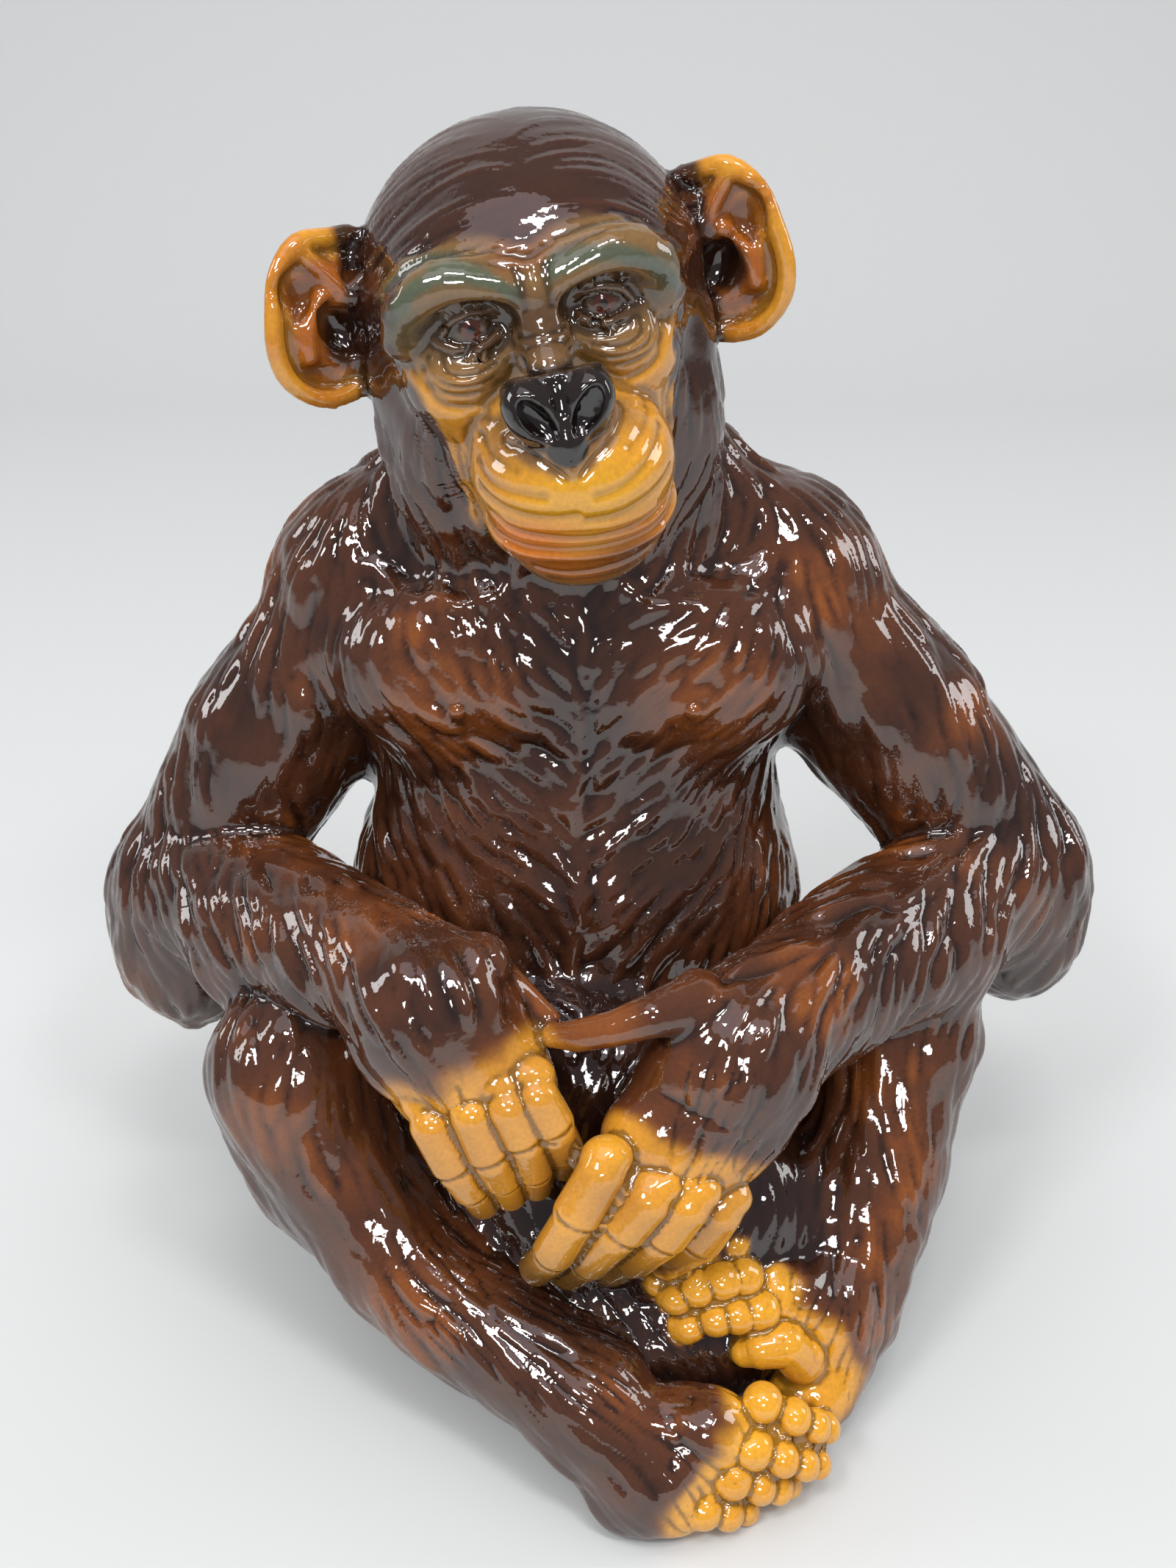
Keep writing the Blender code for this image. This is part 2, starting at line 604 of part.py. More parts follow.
def face_folds(clay, head):
    """Bags under the eyes, the mouth, and the wrinkles that follow it."""
    for side in (-1, 1):
        for k, bag in enumerate(
            (
                [(25.2, 6.6), (24.2, 3.1), (22.3, 1.6), (15.7, 1.0), (11.5, 2.6)],
                [(28.7, 6.5), (28.7, 0.6), (25.8, -2.2), (19.1, -2.8), (13.4, -1.5), (8.6, 3)],
                [(31.4, 2.7), (30.6, -2.1), (27.7, -5.3), (22.6, -6.8), (16.6, -6.4), (11, -3)],
            )
        ):
            points = [head.at(side * x, -44, z) for x, z in bag]
            clay.line(arc(points, 2), 1.4, 0.55 + 0.2 * k)
    clay.line(arc([head.at(*p) for p in MOUTH], 3), 1.6, 1.7)
    for k in range(4):
        rise = 5.0 + 4.6 * k
        fold = [(x * (1 - 0.04 * k), y, z + rise) for x, y, z in MOUTH]
        clay.line(arc([head.at(*p) for p in fold], 3), 1.3, 0.55)
    low = [(-13, -54, -47), (2, -60, -50), (17, -54, -49)]
    clay.line(arc([head.at(*p) for p in low], 3), 1.6, 0.7)


def ears(clay, head):
    """Large ears that stand out, each a hollowed leaf with a rolled rim."""
    wide = EAR_WIDTH
    for side in (-1, 1):
        tall = (EAR_HEIGHT + 1.5 * side) / 2
        root = (SKULL_OFFSET + side * 40.5 - (side < 0) * 2.5, 5, 9.0 - side * 1.5)
        ear = head.turned(*root, turn=-side * EAR_CUP)

        def at(x, y, z):
            return ear.at(side * x * wide, y, z * tall)

        clay.add(Ball(ear, (side * wide * 0.52, 1.5, 0), (wide * 0.44, 4.4, tall * 0.94)), 4)
        clay.add(Ball(ear, (side * wide * 0.20, 3.0, -1), (wide * 0.3, 6.0, tall * 0.80)), 6)
        rim = [
            at(-0.05, 1, 0.86),
            at(0.25, 0, 0.95),
            at(0.55, -1, 1.00),
            at(0.80, -2, 0.72),
            at(0.92, -2, 0.28),
            at(0.99, -2, -0.20),
            at(0.93, -2, -0.62),
            at(0.68, -2, -0.96),
            at(0.36, -1, -1.03),
            at(0.02, 0, -0.96),
        ]
        clay.add(Roll(arc(rim, 3), EAR_RIM_RADIUS), 2.0)
        front = [at(0.55, -1.5, 0.90), at(0.38, -3, 0.55), at(0.22, -4, 0.22)]
        clay.add(Roll(arc(front, 3), 2.0), 2.0)
        for centre, radii, lean in (
            ((0.66, -5.0, 0.36), (0.21, 6.0, 0.42), 18),
            ((0.62, -4.6, -0.66), (0.24, 4.6, 0.20), -30),
            ((0.14, -4.5, 0.50), (0.10, 4.0, 0.26), 10),
        ):
            hollow = (side * wide * centre[0], centre[1], tall * centre[2])
            sizes = (wide * radii[0], radii[1], tall * radii[2])
            clay.press(Ball(ear, hollow, sizes, lean=side * lean), 2.0)
        ridge = [at(0.50, -3, 0.25), at(0.66, -3, -0.08), at(0.70, -3, -0.38)]
        clay.add(Roll(arc(ridge, 3), 2.2), 2.5)
        concha = (side * wide * 0.38, -4.5, -0.16 * tall)
        clay.press(Ball(ear, concha, (5.2, 7.5, 8.2), lean=side * 24), 1.6)
        clay.add(Ball(ear, (side * 3.6, -3.0, -0.42 * tall), (3.2, 3.6, 4.2)), 2.0)


def figure():
    """All the clay of the chimpanzee, from the trunk outward."""
    clay = Clay()
    trunk(clay)
    legs(clay)
    lap(clay)
    arms(clay)
    hands(clay)
    feet(clay)
    head = head_frame()
    skull(clay, head)
    brow(clay, head)
    muzzle(clay, head)
    nose(clay, head)
    eyes(clay, head)
    face_folds(clay, head)
    ears(clay, head)
    trunk_folds(clay)
    return clay


def glaze():
    material = bpy.data.materials.new("brown_glaze")
    material.use_nodes = True
    surface = material.node_tree.nodes["Principled BSDF"]
    surface.inputs["Base Color"].default_value = (0.085, 0.032, 0.018, 1)
    surface.inputs["Roughness"].default_value = 0.08
    surface.inputs["Metallic"].default_value = 0.0
    return material


def detail_group(figurine):
    """Face, hands and feet get a low weight, so that thinning takes their facets last."""
    points = np.array([v.co for v in figurine.data.vertices]) / MM
    head = head_frame()
    local = (points - head.origin) @ head.axes
    face = (local[:, 1] < -20) & (local[:, 2] > -60) & (np.abs(local[:, 0]) < 38)
    ends = (points[:, 1] < -100) & (points[:, 2] < 150)
    fine = face | ends
    group = figurine.vertex_groups.new(name="plain_areas")
    for members, weight in ((fine, 0.2), (~fine, 1.0)):
        group.add([int(k) for k in np.nonzero(members)[0]], weight, "REPLACE")
    return group


def clear_scene():
    for obj in list(bpy.data.objects):
        bpy.data.objects.remove(obj)


def main():
    clear_scene()
    figurine_parts = bpy.data.collections.new("chimpanzee_figurine")
    cutters = bpy.data.collections.new("cutters")
    for collection in (figurine_parts, cutters):
        bpy.context.scene.collection.children.link(collection)

    mesh = skin(figure(), VOXEL)
    mesh.transform(Matrix.Scale(MM, 4))
    mesh.name = "figurine"
    figurine = bpy.data.objects.new("figurine", mesh)
    figurine_parts.objects.link(figurine)
    mesh.materials.append(glaze())

    thin = figurine.modifiers.new("Facets", "DECIMATE")
    thin.ratio = min(1.0, TRIANGLES / (2 * len(mesh.polygons)))
    thin.vertex_group = detail_group(figurine).name
    thin.vertex_group_factor = DETAIL_KEPT

    bpy.ops.mesh.primitive_cube_add(size=1, location=(0, 0, -50 * MM))
    bench = bpy.context.object
    bench.name = "flat_foot_cutter"
    bench.scale = (400 * MM, 400 * MM, 100 * MM)
    for collection in list(bench.users_collection):
        collection.objects.unlink(bench)
    cutters.objects.link(bench)
    bench.hide_render = True
    bench.display_type = "WIRE"
    foot = figurine.modifiers.new("Flat foot", "BOOLEAN")
    foot.operation = "DIFFERENCE"
    foot.object = bench


if __name__ == "__main__":
    main()
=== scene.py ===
"""Looks of the glazed chimpanzee figurine: carved hair, painted glaze, studio sweep."""

import math
from concurrent.futures import ThreadPoolExecutor
from itertools import product

import bmesh
import bpy
import numpy as np
from mathutils import Matrix, Vector


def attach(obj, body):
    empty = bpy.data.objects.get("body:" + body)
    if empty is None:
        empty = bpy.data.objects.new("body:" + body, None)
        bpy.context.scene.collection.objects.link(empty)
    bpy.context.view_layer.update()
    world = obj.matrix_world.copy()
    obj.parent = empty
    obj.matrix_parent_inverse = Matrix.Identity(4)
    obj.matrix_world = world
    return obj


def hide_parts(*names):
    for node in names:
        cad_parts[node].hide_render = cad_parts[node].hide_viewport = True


MM = 0.001

# Skin quality
COARSE_VOXEL = 2.3
FINE_VOXEL = 1.15
SETTLE_STEPS = 3
RELAX = 0.35
PROBE = 0.35
LARGEST_STEP = 1.2
PANELS = 6

# Hair
LOCK_STEP = 1.3
LONGEST_LOCK = 32.0
MOST_NEIGHBOURS = 8
CELL = 4.0

# Camera, found from the figure's outline in the photograph
PHOTO_HEIGHT = 2133
FOCAL_PIXELS = 2238
FILM_HEIGHT = 36.0
CAMERA_PLACE = (0.0, -0.453, 0.415)
CAMERA_TILT = 60.0

# Trunk
RUMP = (74.0, 60.0, 52.0)
RUMP_CENTRE = (0.0, 26.0, 46.0)
BELLY = (72.0, 57.0, 72.0)
BELLY_CENTRE = (-4.0, -6.0, 117.0)
CHEST = (66.0, 47.0, 50.0)
CHEST_CENTRE = (-4.0, 2.0, 188.0)
PECTORAL = (35.0, 17.0, 26.0)
PECTORAL_SPREAD = 33.0
UPPER_BACK = (56.0, 38.0, 38.0)
NECK = (46.0, 38.0, 34.0)
NIPPLE_SPREAD = 33.5
NIPPLE_RADIUS = 2.4

# Arms, as joints and limb radii
SHOULDER_RADIUS = 28.0
UPPER_ARM_RADIUS = 28.0
ELBOW_RADIUS = 25.0
FOREARM_RADIUS = 24.0
WRIST_RADIUS = 19.5
RIGHT_SHOULDER = (-63.5, 8.0, 216.0)
RIGHT_ELBOW = (-128.5, -3.0, 121.0)
RIGHT_WRIST = (-44.0, -95.0, 144.0)
LEFT_SHOULDER = (57.0, 8.0, 217.0)
LEFT_ELBOW = (137.0, -3.0, 126.0)
LEFT_WRIST = (41.0, -97.0, 128.0)

# Legs, as joints and limb radii
HIP = (46.0, 24.0, 52.0)
THIGH_RADIUS = 36.0
KNEE_RADIUS = 22.0
CALF_RADIUS = 22.0
ANKLE_RADIUS = 17.0
RIGHT_KNEE = (-88.5, -74.0, 98.0)
RIGHT_CALF = (-55.0, -98.0, 46.0)
RIGHT_ANKLE = (-1.0, -136.0, 30.0)
LEFT_KNEE = (98.0, -46.0, 90.0)
LEFT_CALF = (86.5, -71.0, 55.0)
LEFT_ANKLE = (76.0, -100.0, 27.0)

# Digits
FINGER_RADIUS = 6.0
FINGER_BLEND = 0.4
TOE_RADIUS = 5.8

# Head, in its own frame: X across, -Y out of the face, +Z to the crown
HEAD_CENTRE = (-17.0, -14.0, 304.0)
HEAD_TURN = 9.0
HEAD_LEAN = -9.0
SKULL_OFFSET = 3.6
CRANIUM = (46.8, 48.0, 45.0)
FACE_HALF_WIDTH = 34.0
EYE_SPREAD = 16.0
EYE_LEVEL = 11.0
EYE_RADIUS = 7.0
BROW_RADIUS = 6.0
MUZZLE = (26.0, 27.0, 20.5)
EAR_HEIGHT = 41.5
EAR_WIDTH = 29.5
EAR_RIM_RADIUS = 2.5
EAR_CUP = 26.0


def rotation(turn=0.0, nod=0.0, lean=0.0):
    """Axes of a frame turned about Z, nodded about X and leaned about Y, in degrees."""
    return np.array(
        Matrix.Rotation(math.radians(turn), 3, "Z")
        @ Matrix.Rotation(math.radians(lean), 3, "Y")
        @ Matrix.Rotation(math.radians(nod), 3, "X")
    )


class Frame:
    """A place and a direction on the figure, in which a feature is laid out."""

    def __init__(self, origin=(0, 0, 0), axes=None):
        self.origin = np.array(origin, float)
        self.axes = np.eye(3) if axes is None else np.array(axes, float)

    def at(self, x, y, z):
        return self.origin + self.axes @ np.array((x, y, z), float)

    def turned(self, x, y, z, **angles):
        return Frame(self.at(x, y, z), self.axes @ rotation(**angles))


BODY = Frame()
RING = [2 * math.pi * k / 18 for k in range(18)]


def unit(v):
    v = np.array(v, float)
    return v / np.linalg.norm(v)


def globe():
    """Vertices and faces of a ball of radius 1."""
    verts, rows = [(0.0, 0.0, 1.0)], 10
    for row in range(1, rows):
        tilt = math.pi * row / rows
        verts += [
            (math.cos(t) * math.sin(tilt), math.sin(t) * math.sin(tilt), math.cos(tilt))
            for t in RING
        ]
    verts.append((0.0, 0.0, -1.0))
    n = len(RING)
    faces = [(0, 1 + k, 1 + (k + 1) % n) for k in range(n)]
    for row in range(rows - 2):
        top = 1 + row * n
        faces += [
            (top + k, top + n + k, top + n + (k + 1) % n, top + (k + 1) % n)
            for k in range(n)
        ]
    last, base = len(verts) - 1, 1 + (rows - 2) * n
    faces += [(last, base + (k + 1) % n, base + k) for k in range(n)]
    return np.array(verts), faces


def numbers(rows, attribute, width=1, kind=np.int32):
    """One value, or one row of values, for each item of a mesh collection."""
    found = np.empty(len(rows) * width, kind)
    rows.foreach_get(attribute, found)
    return found if width == 1 else found.reshape(-1, width)


def arc(points, count=4):
    """A smooth run of points through the given ones."""
    p = np.array(points, float)
    p = np.vstack([2 * p[0] - p[1], p, 2 * p[-1] - p[-2]])
    made = []
    for i in range(1, len(p) - 2):
        for k in range(count):
            t = k / count
            made.append(
                0.5
                * (
                    2 * p[i]
                    + (p[i + 1] - p[i - 1]) * t
                    + (2 * p[i - 1] - 5 * p[i] + 4 * p[i + 1] - p[i + 2]) * t**2
                    + (3 * p[i] - p[i - 1] - 3 * p[i + 1] + p[i + 2]) * t**3
                )
            )
    made.append(p[-2])
    return made


class Ball:
    """An ellipsoid of clay with half sizes along the axes of its frame."""

    def __init__(self, frame, centre, radii, **angles):
        self.frame = frame.turned(*centre, **angles)
        self.radii = np.array(radii, float)
        reach = np.sqrt(((self.frame.axes * self.radii) ** 2).sum(1))
        self.low = self.frame.origin - reach
        self.high = self.frame.origin + reach

    def distance(self, points):
        local = (points - self.frame.origin) @ self.frame.axes
        a = np.linalg.norm(local / self.radii, axis=1)
        b = np.linalg.norm(local / self.radii**2, axis=1)
        return a * (a - 1) / np.maximum(b, 1e-6)

    def pieces(self):
        verts, faces = globe()
        return [(verts * self.radii @ self.frame.axes.T + self.frame.origin, faces)]


class Roll:
    """A roll of clay along joints, with its own radius at each."""

    def __init__(self, points, radii):
        self.points = [np.array(p, float) for p in points]
        self.radii = list(radii) if np.ndim(radii) else [radii] * len(points)
        reach = max(self.radii)
        self.low = np.min(self.points, axis=0) - reach
        self.high = np.max(self.points, axis=0) + reach

    def distance(self, points):
        nearest = None
        for i in range(len(self.points) - 1):
            a, b = self.points[i], self.points[i + 1]
            along = b - a
            share = np.clip((points - a) @ along / (along @ along), 0, 1)
            gap = np.linalg.norm(points - a - share[:, None] * along, axis=1)
            gap -= self.radii[i] + share * (self.radii[i + 1] - self.radii[i])
            nearest = gap if nearest is None else np.minimum(nearest, gap)
        return nearest

    def pieces(self):
        verts, faces = globe()
        made = [(verts * r + p, faces) for p, r in zip(self.points, self.radii)]
        for i in range(len(self.points) - 1):
            a, b = self.points[i], self.points[i + 1]
            turn = Vector(b - a).to_track_quat("Z", "Y").to_matrix()
            round_about = [(math.cos(t), math.sin(t), 0.0) for t in RING]
            ring = np.array(round_about) @ np.array(turn).T
            wall = np.vstack([a + ring * self.radii[i], b + ring * self.radii[i + 1]])
            n = len(RING)
            sides = [(k, (k + 1) % n, n + (k + 1) % n, n + k) for k in range(n)]
            caps = [tuple(range(n))[::-1], tuple(range(n, 2 * n))]
            made.append((wall, sides + caps))
        return made


class Clay:
    """The figure as steps: masses added or pressed in, and lines drawn on the skin."""

    def __init__(self):
        self.steps = []

    def add(self, shape, blend=3.0):
        self.steps.append(("add", shape, blend, 0.0))

    def press(self, shape, blend=3.0):
        self.steps.append(("press", shape, blend, 0.0))

    def line(self, points, width, depth):
        """A fold along points on the skin: a groove, or a ridge where depth is below 0."""
        settled = np.array(points, float)
        for _ in range(6):
            settled = self.pull(settled, 4.0)
        self.steps.append(("line", Roll(settled, 0.0), width, depth))

    def slab(self, points):
        """Signed distance of points that lie close together in height."""
        value = np.full(len(points), 50.0)
        floor, top = points.min(0), points.max(0)
        for kind, shape, blend, depth in self.steps:
            reach = 3.0 * blend if kind == "line" else 8.0 + blend
            low, high = shape.low - reach, shape.high + reach
            if (low > top).any() or (high < floor).any():
                continue
            near = np.nonzero(((points > low) & (points < high)).all(1))[0]
            if not len(near):
                continue
            gap = shape.distance(points[near])
            old = value[near]
            if kind == "line":
                value[near] = old + depth * np.exp(-((gap / blend) ** 2))
            elif kind == "add":
                mix = np.maximum(blend - np.abs(old - gap), 0) / blend
                value[near] = np.minimum(old, gap) - mix**2 * blend / 4
            else:
                mix = np.maximum(blend - np.abs(old + gap), 0) / blend
                value[near] = np.maximum(old, -gap) + mix**2 * blend / 4
        return value

    def field(self, points):
        """Signed distance to the skin at each point, below 0 inside."""
        order = np.argsort(np.round(points[:, 2] / 8) * 4096 + points[:, 0])
        parts = np.array_split(order, max(1, len(points) // 3000))
        value = np.empty(len(points))
        with ThreadPoolExecutor(4) as pool:
            for part, found in zip(parts, pool.map(self.slab, [points[p] for p in parts])):
                value[part] = found
        return value

    def slope(self, points):
        """The direction out of the clay at each point, and how steep the field is."""
        corners = np.array([(1, -1, -1), (-1, -1, 1), (-1, 1, -1), (1, 1, 1)], float)
        probes = (points[None] + corners[:, None] * PROBE).reshape(-1, 3)
        values = self.field(probes).reshape(4, -1)
        slope = np.einsum("kn,kc->nc", values, corners) / (4 * PROBE)
        length = np.maximum(np.linalg.norm(slope, axis=1), 0.25)
        return slope / length[:, None], length, values.mean(0)

    def pull(self, points, largest):
        """Points moved onto the skin, by two short steps along the same direction."""
        out, steep, off = self.slope(points)
        points = points - out * np.clip(off / steep, -largest, largest)[:, None]
        off = self.field(points)
        return points - out * np.clip(off / steep, -largest, largest)[:, None]


def largest_island(mesh):
    """Keeps the outer skin and removes any shell enclosed in it."""
    bm = bmesh.new()
    bm.from_mesh(mesh)
    bm.verts.ensure_lookup_table()
    left = set(bm.verts)
    islands = []
    while left:
        start = left.pop()
        island = {start}
        stack = [start]
        while stack:
            for edge in stack.pop().link_edges:
                for vert in edge.verts:
                    if vert in left:
                        left.discard(vert)
                        island.add(vert)
                        stack.append(vert)
        islands.append(island)
    islands.sort(key=len)
    for island in islands[:-1]:
        bmesh.ops.delete(bm, geom=list(island), context="VERTS")
    bm.to_mesh(mesh)
    bm.free()


def remeshed(mesh, voxel):
    """The mesh as one even skin of quads."""
    holder = bpy.data.objects.new("rough_skin", mesh)
    bpy.context.scene.collection.objects.link(holder)
    remesh = holder.modifiers.new("Even", "REMESH")
    remesh.mode = "VOXEL"
    remesh.voxel_size = voxel
    graph = bpy.context.evaluated_depsgraph_get()
    made = bpy.data.meshes.new_from_object(holder.evaluated_get(graph))
    bpy.data.objects.remove(holder)
    bpy.data.meshes.remove(mesh)
    largest_island(made)
    return made


def settle(mesh, clay, steps=SETTLE_STEPS):
    """Pulls the even skin onto the blended clay, and keeps its vertices evenly spread."""
    points = numbers(mesh.vertices, "co", 3, np.float32).astype(float)
    a, b = numbers(mesh.edges, "vertices", 2).T
    near, far = np.hstack([a, b]), np.hstack([b, a])
    count = np.bincount(near, minlength=len(points))[:, None]
    for step in range(steps):
        if step:
            sums = [np.bincount(near, points[far, k], len(points)) for k in range(3)]
            points += (np.column_stack(sums) / count - points) * RELAX
        points = clay.pull(points, LARGEST_STEP)
    mesh.vertices.foreach_set("co", points.astype(np.float32).ravel())
    mesh.update()


def skin(clay, voxel, rounds):
    """One closed mesh of the clay, in millimetres."""
    verts, faces, count = [], [], 0
    for kind, shape, _, _ in clay.steps:
        if kind != "add":
            continue
        for points, polygons in shape.pieces():
            verts.append(points)
            faces += [[count + k for k in polygon] for polygon in polygons]
            count += len(points)
    mesh = bpy.data.meshes.new("figurine")
    mesh.from_pydata(np.vstack(verts), [], faces)
    mesh = remeshed(mesh, voxel)
    for _ in range(rounds):
        settle(mesh, clay)
        mesh = remeshed(mesh, voxel)
    settle(mesh, clay)
    return mesh


def trunk(clay):
    """Rump, belly, chest and back."""
    clay.add(Ball(BODY, RUMP_CENTRE, RUMP), 4)
    clay.add(Ball(BODY, BELLY_CENTRE, BELLY), 18)
    clay.add(Ball(BODY, CHEST_CENTRE, CHEST), 22)
    clay.add(Ball(BODY, (-4, 22, 212), UPPER_BACK), 20)
    clay.add(Ball(BODY, (-2, 34, 112), (60, 34, 72)), 20)
    clay.add(Ball(BODY, (-8, 2, 246), NECK), 18)
    for side in (-1, 1):
        centre = (-4 + side * PECTORAL_SPREAD, -28, 208)
        clay.add(Ball(BODY, centre, PECTORAL, lean=side * 12), 12)
        clay.add(Ball(BODY, (-3 + side * 32, 46, 202), (22, 14, 34), lean=side * -14), 14)
        slope = [(-8 + side * 24, 4, 262), (-5 + side * 49, 7, 237)]
        clay.add(Roll(slope, [18, 20]), 14)
        clay.add(Ball(BODY, (side * 31, 46, 40), (36, 38, 38)), 6)


def trunk_folds(clay):
    """The grooves of breast, belly and spine, the breast's lower edges and the nipples."""
    clay.line([(-5, 60, 236), (-3, 70, 200), (-2, 70, 150), (-1, 74, 100)], 6.0, 2.0)
    clay.line([(-2, -60, 236), (-1, -60, 215), (0, -60, 190)], 2.6, 1.4)
    clay.line([(0, -60, 190), (3, -66, 150), (8, -68, 120)], 2.4, 1.0)
    for side in (-1, 1):
        edge = [(8, -56, 193), (26, -58, 187), (46, -54, 190), (62, -40, 202)]
        clay.line([(-4 + side * x, y, z) for x, y, z in edge], 4.5, 0.9)
        nipple = np.array((-3.5 + side * NIPPLE_SPREAD, -52.0, 203.0))
        for _ in range(6):
            nipple = clay.pull(nipple[None], 4.0)[0]
        ring = [
            nipple + (math.cos(a) * 3.6, 0, math.sin(a) * 3.6)
            for a in np.linspace(0, 2 * math.pi, 9)
        ]
        clay.add(Ball(Frame(nipple), (0, 0, 0), [NIPPLE_RADIUS] * 3), 0.8)
        clay.line(ring, 0.8, -0.7)


def arms(clay):
    """Upper arms, elbows and forearms, each with the muscle and hair that thicken it."""
    for side, shoulder, elbow, wrist in (
        (-1, np.array(RIGHT_SHOULDER), np.array(RIGHT_ELBOW), np.array(RIGHT_WRIST)),
        (1, np.array(LEFT_SHOULDER), np.array(LEFT_ELBOW), np.array(LEFT_WRIST)),
    ):
        clay.add(Ball(BODY, shoulder, (SHOULDER_RADIUS - 1, 30, 34), lean=side * 35), 18)
        radii = [UPPER_ARM_RADIUS - 1, UPPER_ARM_RADIUS + 1, ELBOW_RADIUS - 1]
        middle = (shoulder + elbow) / 2 + (side * 1.5 - 0.5, 0.0, 1.0)
        upper = [shoulder, middle, elbow + (-side * 2.0, 4.0, 2.0)]
        clay.add(Roll(upper, radii), 9)
        bulge = elbow * 0.55 + wrist * 0.45 + (side * 1.0, 2.0, -1.0)
        radii = [ELBOW_RADIUS, FOREARM_RADIUS, WRIST_RADIUS + side]
        clay.add(Roll([elbow, bulge, wrist], radii), 4)
        fringe = elbow + (2.0 * side - 1.5, -4.0, -16.5 + 1.5 * side)
        clay.add(Ball(BODY, fringe, (25, 24, 34 - 2 * side)), 8)
        clay.add(Ball(BODY, elbow * 0.6 + wrist * 0.4 + (0, 0, -9), (28, 24, 22)), 8)


def legs(clay):
    """Thighs out to raised knees, and shins that cross in front."""
    for side, knee, calf, ankle in (
        (-1, np.array(RIGHT_KNEE), np.array(RIGHT_CALF), np.array(RIGHT_ANKLE)),
        (1, np.array(LEFT_KNEE), np.array(LEFT_CALF), np.array(LEFT_ANKLE)),
    ):
        hip = np.array((side * HIP[0], *HIP[1:]))
        clay.add(Roll([hip, knee], [THIGH_RADIUS, KNEE_RADIUS]), 10)
        clay.add(Ball(BODY, knee, (KNEE_RADIUS + 1, KNEE_RADIUS, KNEE_RADIUS + 3)), 6)
        shin = arc([knee, calf, ankle], 3)
        calf_radius = CALF_RADIUS + side * 2
        radii = np.interp(
            np.linspace(0, 1, len(shin)), (0, 0.5, 1), (KNEE_RADIUS, calf_radius, ANKLE_RADIUS)
        )
        clay.add(Roll(shin, radii), 8)
    clay.add(Ball(BODY, (-76, -73, 65), (28, 24, 34), lean=-32), 14)


def digit(clay, joints, radius, taper=0.10, inward=(0.0, 1.3, 0.0)):
    """A finger: one sausage for each bone, the next one slimmer and coming from under it."""
    joints = [np.array(j, float) + np.array(inward) * i for i, j in enumerate(joints)]
    for i in range(len(joints) - 1):
        size = radius * (1 - taper * i)
        end = joints[i + 1] - unit(joints[i + 1] - joints[i]) * size * 0.45
        clay.add(Roll([joints[i], end], [size * 0.97, size]), FINGER_BLEND)


def hands(clay):
    """Both hands hang between the shins, their fingers curled and the thumbs meeting."""
    # Right hand: the back of a loose fist, seen from the front.
    wrist = np.array(RIGHT_WRIST)
    clay.add(Ball(Frame((-39, -101, 134)), (0, 0, 0), (23, 18, 24), lean=-26), 12)
    clay.add(Ball(Frame((-28, -107, 119)), (0, 0, 0), (20, 14, 19), lean=-20), 10)
    bones = [
        [(-41.6, -119, 117), (-35.2, -122, 102.6), (-31.2, -120, 92), (-29.0, -114, 80)],
        [(-30.6, -120, 121.5), (-25.7, -123, 107.6), (-22.7, -120, 96), (-21.5, -114, 83)],
        [(-21.0, -120, 124), (-16.4, -122, 112.7), (-14.4, -119, 98.2), (-14.5, -112, 85)],
        [(-13.4, -118, 126), (-8.6, -120, 115), (-6.1, -116, 102.5), (-6.3, -109, 89.6)],
    ]
    for joints in bones:
        digit(clay, joints, FINGER_RADIUS + 0.1)
        heading = unit(np.array(joints[0]) - np.array(joints[1]))
        knuckle = np.array(joints[0]) + heading * 4.5 + (0, 3.5, 0)
        clay.add(Ball(BODY, knuckle, (6.6, 5.6, 5.0)), 1.4)
    thumb = [wrist + (16, 0, 8), (-25, -93, 148), (-17, -95, 140.5), (-10.5, -98, 136.5)]
    clay.add(Roll(thumb, [8.5, 5.4, 4.4, 3.0]), 2.5)

    # Left hand: the broad back of the hand, with straighter fingers that reach the shin.
    wrist = np.array(LEFT_WRIST)
    clay.add(Ball(Frame((35, -104, 114)), (0, 0, 0), (24, 17, 25), lean=30), 12)
    clay.add(Ball(Frame((24, -112, 103)), (0, 0, 0), (22, 14, 17), lean=34), 5)
    bones = [
        [(3.5, -127, 108), (-4.1, -131, 93.0), (-10.2, -129, 76.5), (-15, -121, 62)],
        [(16, -128, 99), (7.6, -131, 88), (-0.5, -125, 70), (-6.0, -117, 56)],
        [(26.5, -127, 96), (19.5, -128, 83), (12.0, -120, 66), (5.0, -112, 52)],
        [(36, -121, 88), (30.5, -120, 74), (22, -112, 57), (16, -106, 47)],
    ]
    for k, joints in enumerate(bones):
        digit(clay, joints, FINGER_RADIUS + 0.7)
        heading = unit(np.array(joints[0]) - np.array(joints[1]))
        knuckle = np.array(joints[0]) + heading * 3.5 + (0, 2.0, 0)
        clay.add(Ball(BODY, knuckle, (7.0 + 0.8 * (k > 0), 6.2, 5.6)), 1.4)
    thumb = [wrist + (-12, -2, 14), (17, -107, 144.5), (7, -108, 141), (-3, -106, 137)]
    thumb.append((-9, -104, 135.5))
    clay.add(Roll(thumb, [9, 6.0, 4.8, 4.4, 3.4]), 2.5)


